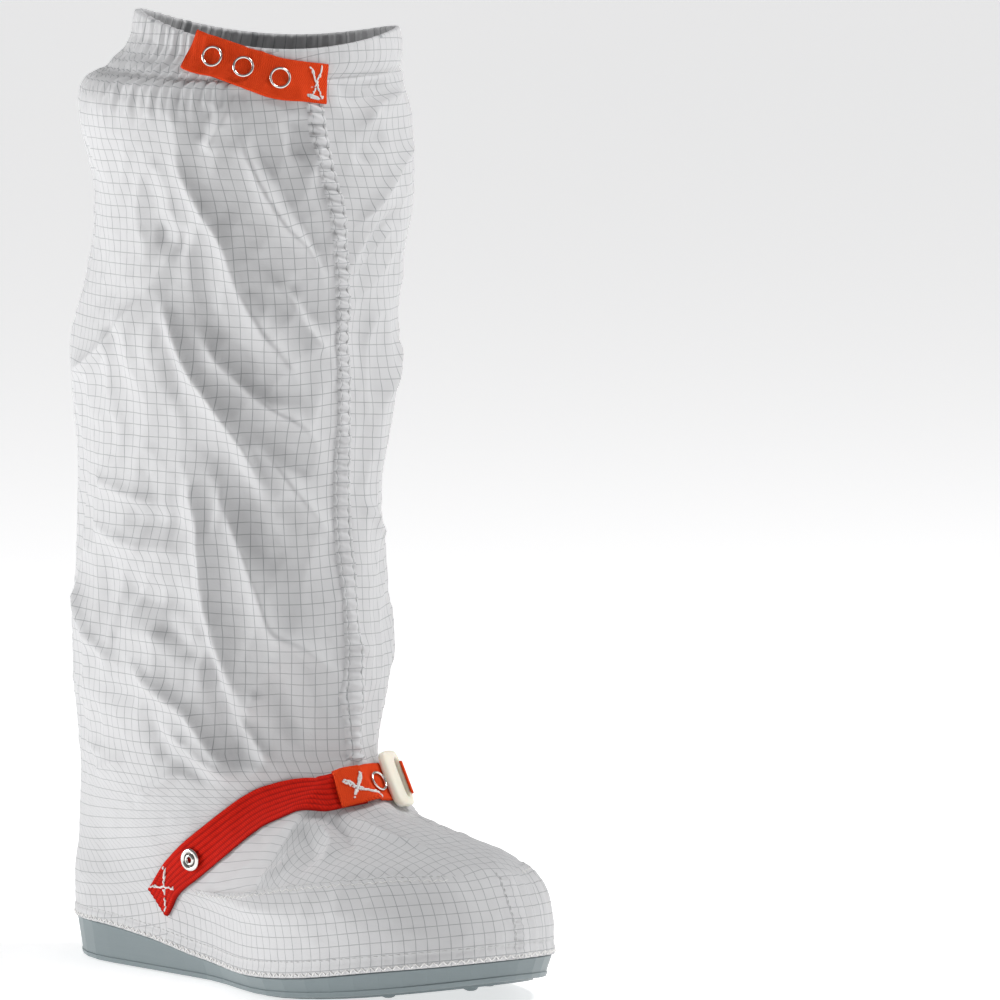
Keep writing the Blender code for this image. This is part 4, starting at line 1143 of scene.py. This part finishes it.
outerBand = makeBand("ankle_elastic_outer_woven", bandTables["outer"], 0.0168, 0.0014, 130, 50, 7, 0.00045,
                     elastic, "elastic", "ankle_elastic_outer")
innerBand = makeBand("ankle_elastic_inner_woven", bandTables["inner"], 0.0168, 0.0014, 120, 50, 7, 0.00045,
                     elastic, "elastic", "ankle_elastic_inner")
tabBand = makeBand("ankle_tape_tab_woven", bandTables["tab"], 0.0176, 0.0016, 60, 25, 0, 0.0,
                   tape, "tape", "ankle_tape_tab")
collarBand = makeBand("collar_tape_woven", bandTables["collar"], 0.0172, 0.0012, 110, 25, 0, 0.0,
                      tape, "tape", "collar_tape")
print("straps ready")


# Crossed bar tacks: band, then for each stroke the share along and across at both ends
def makeTack(name, band, strokes, radius, count):
    chance = np.random.default_rng(5)
    starts = []
    ends = []
    ups = []
    for first, second in strokes:
        first = np.array(first)
        second = np.array(second)
        for index in range(count):
            jitter = chance.normal(size=4) * np.array((0.006, 0.030, 0.006, 0.030))
            one = first + (second - first) * (index / count) + jitter[:2]
            two = first + (second - first) * min((index + 1.35) / count, 1.0) + jitter[2:]
            spot, up = bandSpot(band, one[0], min(max(one[1], 0.01), 0.99))
            starts.append(spot + up * 0.0001)
            ups.append(up)
            spot, up = bandSpot(band, two[0], min(max(two[1], 0.01), 0.99))
            ends.append(spot + up * 0.0001)
    makeThreads(name, starts, ends, ups, radius, threadWhite, "cloth")


heelStrokes = (
    ((0.020, 0.97), (0.115, 0.16)),
    ((0.015, 0.10), (0.120, 0.93)),
)
tabStrokes = (
    ((0.12, 0.72), (0.60, 0.10)),
    ((0.44, 0.84), (0.22, 0.16)),
    ((0.10, 0.66), (0.52, 0.18)),
    ((0.47, 0.80), (0.25, 0.22)),
)
collarStrokes = (
    ((0.865, 0.92), (0.975, 0.10)),
    ((0.955, 0.95), (0.885, 0.10)),
)
makeTack("heel_tack_outer", outerBand, heelStrokes, 0.00042, 11)
makeTack("heel_tack_inner", innerBand, heelStrokes, 0.00042, 11)
makeTack("tab_tack", tabBand, tabStrokes, 0.00050, 12)
makeTack("collar_tack", collarBand, collarStrokes, 0.00042, 11)

# Snaps: rows of radius and height in millimetres round a closed loop
nickel = newMaterial("bright nickel", (0.78, 0.77, 0.74), 0.18, Metallic=1.0)[0]
# dark copy of the nickel, painted shade for the socket's groove
socketShadeNickel = newMaterial("shaded nickel", (0.10, 0.09, 0.08), 0.4, Metallic=1.0)[0]
ringProfile = (
    (3.55, -0.2), (4.65, -0.2), (4.7, 0.22), (4.55, 0.55),
    (4.25, 0.75), (3.9, 0.70), (3.62, 0.45), (3.52, 0.1),
)
socketProfile = (
    (1.15, -0.2), (5.0, -0.2), (5.05, 0.2), (4.9, 0.55), (4.4, 0.85), (3.8, 0.95), (3.4, 0.75), (3.1, 0.25),
    (2.7, 0.15), (2.4, 0.35), (2.15, 1.0), (1.8, 1.15), (1.5, 1.0), (1.2, 0.5),
)
# flat ring laid over the socket's groove as a sheet of painted shade
grooveShadeProfile = ((2.45, 0.30), (3.2, 0.30), (3.2, 0.42), (2.45, 0.42))


def makeTurned(name, spot, up, profile, material, node):
    count = 40
    up = up / np.linalg.norm(up)
    side = np.cross(up, (0.0, 0.0, 1.0))
    side /= np.linalg.norm(side)
    high = np.cross(side, up)
    turns = np.linspace(0, 2 * math.pi, count, endpoint=False)
    points = np.zeros((len(profile) + 1, count, 3))
    for index, (radius, height) in enumerate(profile + profile[:1]):
        arm = side[None] * np.cos(turns)[:, None] + high[None] * np.sin(turns)[:, None]
        points[index] = spot + arm * radius / 1000 + up * height / 1000
    body = makeMesh(name, points.reshape(-1, 3), gridFaces(len(profile) + 1, count, True))
    body.data.materials.append(material)
    claim(body, "snap", node)


def bandNear(band, place):
    over, normal, lengths, offsets = band
    away = np.linalg.norm(over - place, axis=2)
    row, column = np.unravel_index(np.argmin(away), away.shape)
    column = len(offsets) // 2
    patch = over[max(row - 5, 0):row + 6]
    along = patch[-1, column] - patch[0, column]
    across = patch[:, -1].mean(axis=0) - patch[:, 0].mean(axis=0)
    up = np.cross(along, across)
    up /= np.linalg.norm(up)
    if up @ normal[row] < 0:
        up = -up
    rise = ((patch.reshape(-1, 3) - over[row, column]) @ up).max() * 0.6
    return over[row, column] + up * max(rise, 0.0), up


for name, share in (("collar_snap_1", 0.175), ("collar_snap_2", 0.405), ("collar_snap_3", 0.665)):
    spot, up = bandNear(collarBand, bandSpot(collarBand, share, 0.5)[0])
    makeTurned(name + "_ring", spot, up, ringProfile, nickel, name)
spot, up = bandNear(tabBand, bandSpot(tabBand, 0.77, 0.5)[0])
makeTurned("ankle_snap_ring", spot, up, ringProfile, nickel, "ankle_snap")
spot, up = bandNear(outerBand, bandSpot(outerBand, 0.250, 0.5)[0])
makeTurned("ankle_snap_socket_cup", spot, up, socketProfile, nickel, "ankle_snap_socket")
# the ring in the shaded nickel is a dark sheet of painted shade over the groove
makeTurned("ankle_snap_socket_groove_shade", spot, up, grooveShadeProfile, socketShadeNickel, "ankle_snap_socket")
print("snaps ready")


def giveMaterial(name, material):
    node = nodes[name]
    node.data.materials.clear()
    node.data.materials.append(material)


cream, creamShader = newMaterial("cream moulded plastic", (0.94, 0.88, 0.74), 0.32)
creamShader.inputs["Subsurface Weight"].default_value = 0.15
creamShader.inputs["Subsurface Scale"].default_value = 0.002

# Buckle: a frame with a broad near bar; lengths along and across the strap in metres
buckle = {
    "length": 0.0150,
    "width": 0.0255,
    "slotStart": 0.0010,
    "slotEnd": 0.0046,
    "slotHalf": 0.0089,
    "thickness": 0.0038,
    "bend": 0.0010,
    "forward": 0.0050,
    "proud": 0.0026,
    "turn": -9.0,
    "ringPoints": 72,
    "sectionPoints": 14,
    "foldBar": 0.0046,
    "foldReach": 0.0029,
    "foldRise": 0.0019,
    "foldHalfWidth": 0.0074,
    "foldThick": 0.0006,
    "foldRows": 9,
}


def makeBuckle():
    start, normal = bandSpot(tabBand, 0.90, 0.5)
    end, _ = bandSpot(tabBand, 1.0, 0.5)
    along = end - start
    along /= np.linalg.norm(along)
    normal = normal - along * (along @ normal)
    normal /= np.linalg.norm(normal)
    turn = math.radians(buckle["turn"])
    cosine = math.cos(turn)
    sine = math.sin(turn)
    along, normal = along * cosine + normal * sine, normal * cosine - along * sine
    across = np.cross(normal, along)
    middle = end + along * buckle["forward"] + normal * buckle["proud"]
    turns = np.linspace(0, 2 * math.pi, buckle["ringPoints"], endpoint=False)

    def rounded(turn, power):
        cosines = np.cos(turn)
        sines = np.sin(turn)
        return np.sign(cosines) * np.abs(cosines) ** power, np.sign(sines) * np.abs(sines) ** power
    outX, outY = rounded(turns, 0.42)
    inX, inY = rounded(turns, 0.5)
    slotMiddle = (buckle["slotStart"] + buckle["slotEnd"]) / 2
    slotLength = buckle["slotEnd"] - buckle["slotStart"]
    outer = np.stack((outX * buckle["length"] / 2, outY * buckle["width"] / 2), axis=-1)
    inner = np.stack((slotMiddle + inX * slotLength / 2, inY * buckle["slotHalf"]), axis=-1)
    points = []
    for turn in np.linspace(0, 2 * math.pi, buckle["sectionPoints"], endpoint=False):
        wide, high = rounded(np.array(turn), 0.62)
        flat = inner + (outer - inner) * (0.5 + 0.5 * wide)
        rise = high * buckle["thickness"] / 2 - buckle["bend"] * (flat[:, 0] / (buckle["length"] / 2)) ** 2
        lifted = middle + along * flat[:, :1] + across * flat[:, 1:]
        points.append(lifted + normal * np.reshape(rise, (-1, 1)))
    points.append(points[0])
    frameFaces = gridFaces(buckle["sectionPoints"] + 1, buckle["ringPoints"], True)
    body = makeMesh("buckle_frame", np.array(points).reshape(-1, 3), frameFaces)
    body.data.materials.append(cream)
    claim(body, "buckle", "buckle")
    # folded tape that holds the far bar
    bends = math.pi * np.linspace(0, 1, 13)
    reaches = buckle["foldBar"] + buckle["foldReach"] * np.sin(bends)
    shape = np.stack((reaches, buckle["foldRise"] * np.cos(bends)), axis=-1)
    points = []
    for offset in np.linspace(-buckle["foldHalfWidth"], buckle["foldHalfWidth"], buckle["foldRows"]):
        for forward, rise in shape:
            points.append(middle + along * (forward + buckle["foldThick"]) + across * offset
                          + normal * (rise + 0.0004))
        for forward, rise in shape[::-1]:
            points.append(middle + along * forward + across * offset + normal * rise * 0.82)
    count = len(shape) * 2
    ends = capFaces((0, (buckle["foldRows"] - 1) * count), count, len(shape))
    faces = np.vstack((gridFaces(buckle["foldRows"], count, True), ends))
    loop = makeMesh("buckle_tape_fold", np.array(points), faces, np.zeros((faces.size, 2)))
    loop.data.materials.append(tape)
    claim(loop, "tape")


makeBuckle()

# Sole: smooth moulded sides, pebbled under the forefoot inside a thin border line; its downward faces are
# painted darker as shade
soleLook = {
    "side": (0.196, 0.238, 0.249),
    "under": (0.120, 0.150, 0.158),
    # painted shade colour for the downward faces of the sole
    "pebble": 0.0006,
    "zoneMiddle": 0.046,
    "zoneHalfLength": 0.0790,
    "zoneHalfWidth": 0.0515,
    "zonePower": 2.4,
    "borderWidth": 0.028,
    "pebbleScale": 560.0,
    "speckScale": 900.0,
}


def soleMaterial():
    material, shader = newMaterial("blue grey moulded sole", soleLook["side"], 0.42)
    tree = material.node_tree
    calc = maths(tree)
    place = tree.nodes.new("ShaderNodeTexCoord").outputs["Object"]
    parts = tree.nodes.new("ShaderNodeSeparateXYZ")
    tree.links.new(place, parts.inputs[0])
    across = calc("DIVIDE", parts.outputs[1], soleLook["zoneHalfWidth"])
    fromMiddle = calc("SUBTRACT", parts.outputs[0], soleLook["zoneMiddle"])
    along = calc("DIVIDE", fromMiddle, soleLook["zoneHalfLength"])
    oval = calc("ADD", calc("POWER", calc("ABSOLUTE", across), soleLook["zonePower"]),
                calc("POWER", calc("ABSOLUTE", along), soleLook["zonePower"]))
    border = calc("LESS_THAN", calc("ABSOLUTE", calc("SUBTRACT", oval, 1.0)), soleLook["borderWidth"])
    geometry = tree.nodes.new("ShaderNodeNewGeometry")
    facing = tree.nodes.new("ShaderNodeSeparateXYZ")
    tree.links.new(geometry.outputs["Normal"], facing.inputs[0])
    below = calc("LESS_THAN", facing.outputs[2], -0.8)
    zone = calc("MULTIPLY", calc("LESS_THAN", oval, 1.0), below)
    cells = tree.nodes.new("ShaderNodeTexVoronoi")
    cells.inputs["Scale"].default_value = soleLook["pebbleScale"]
    tree.links.new(place, cells.inputs["Vector"])
    speck = noiseNode(tree, place, soleLook["speckScale"], 3.0)
    pebble = calc("ADD", calc("SUBTRACT", 1.0, cells.outputs["Distance"]), calc("MULTIPLY", speck, 0.6))
    stretched = tree.nodes.new("ShaderNodeMapping")
    stretched.inputs["Scale"].default_value = (6.0, 6.0, 160.0)
    tree.links.new(place, stretched.inputs["Vector"])
    flow = noiseNode(tree, stretched.outputs[0], 4.0)
    line = calc("MULTIPLY", border, calc("MULTIPLY", below, 1.2))
    bumpHeight = calc("ADD", calc("MULTIPLY", pebble, zone), calc("ADD", line, calc("MULTIPLY", flow, 0.10)))
    # downward faces are mixed towards the painted shade colour, and the stretched noise adds faint moulding
    # streaks
    underShadeAndStreaks = calc("MULTIPLY_ADD", below, 0.8, calc("MULTIPLY", flow, 0.12))
    tree.links.new(mixColour(tree, underShadeAndStreaks, soleLook["side"], soleLook["under"]), shader.inputs["Base Color"])
    addBump(tree, shader, bumpHeight, soleLook["pebble"], 0.9)
    return material


giveMaterial("outsole", soleMaterial())
giveMaterial("insole", newMaterial("pale lining sheet", (0.62, 0.63, 0.62), 0.85)[0])
print("sole ready")

# Studio: where the camera stands, and the pale floor and surroundings
view = {
    "azimuth": math.radians(52.0),
    "elevation": math.radians(5.7),
    "distance": 5.0,
    "point": Vector((-0.04065, 0.0, 0.2)),
    "right": 0.1089,
    "up": 0.0045,
    "focal": 414.0,
}
studio = {
    "floorGlow": 0.62,
    "horizon": 0.22,
    "fade": 0.15,
    "overhead": (0.17, 0.17, 0.175),
    "around": (0.93, 0.93, 0.93),
}


def makeStudio():
    floorMaterial, floorShader = newMaterial("pale floor", (0.86, 0.86, 0.86), 0.7)
    floorShader.inputs["Emission Color"].default_value = (1.0, 1.0, 1.0, 1.0)
    floorShader.inputs["Emission Strength"].default_value = studio["floorGlow"]
    bpy.ops.mesh.primitive_plane_add(size=40.0, location=(0, 0, 0))
    floor = bpy.context.object
    floor.name = "floor"
    floor.data.materials.append(floorMaterial)
    world = bpy.data.worlds.new("studio")
    world.use_nodes = True
    # pale near the horizon and dim overhead
    tree = world.node_tree
    direction = tree.nodes.new("ShaderNodeSeparateXYZ")
    tree.links.new(tree.nodes.new("ShaderNodeTexCoord").outputs["Generated"], direction.inputs[0])
    below = mathNode(tree, "SUBTRACT", studio["horizon"], direction.outputs[2])
    rise = mathNode(tree, "DIVIDE", below, studio["fade"])
    rise.node.use_clamp = True
    sky = mixColour(tree, rise, studio["overhead"], studio["around"])
    tree.links.new(sky, tree.nodes["Background"].inputs[0])
    bpy.context.scene.world = world
    toward = Vector((math.sin(view["azimuth"]) * math.cos(view["elevation"]),
                     -math.cos(view["azimuth"]) * math.cos(view["elevation"]), math.sin(view["elevation"])))
    right = Vector((math.cos(view["azimuth"]), math.sin(view["azimuth"]), 0.0))
    up = toward.cross(right).normalized()
    lightTable = (
        ("key", -1.9, 0.35, -0.1, 0.7, 20.0),
        ("side", 1.6, 0.7, -0.1, 0.7, 4.0),
        ("top", 1.25, 2.1, 0.10, 0.7, 34.0),
    )
    middle = Vector((-0.02, 0.0, 0.2))
    for name, sideways, upward, forward, size, power in lightTable:
        light = bpy.data.lights.new(name, "AREA")
        light.shape = "SQUARE"
        light.size = size
        light.energy = power
        lamp = bpy.data.objects.new(name, light)
        bpy.context.scene.collection.objects.link(lamp)
        level = Vector((toward.x, toward.y, 0))
        lamp.location = middle + right * sideways + Vector((0, 0, upward)) + level * forward
        lamp.rotation_euler = (lamp.location - middle).to_track_quat("Z", "Y").to_euler()
    bpy.context.scene.view_settings.view_transform = "Standard"
    camera = bpy.data.cameras.new("camera")
    camera.lens = view["focal"]
    camera.sensor_width = 36.0
    camera.clip_end = 100.0
    seat = bpy.data.objects.new("camera", camera)
    bpy.context.scene.collection.objects.link(seat)
    seat.location = view["point"] + toward * view["distance"]
    target = view["point"] + right * view["right"] + up * view["up"]
    seat.rotation_euler = (seat.location - target).to_track_quat("Z", "Y").to_euler()
    bpy.context.scene.camera = seat


makeStudio()
print("studio ready")
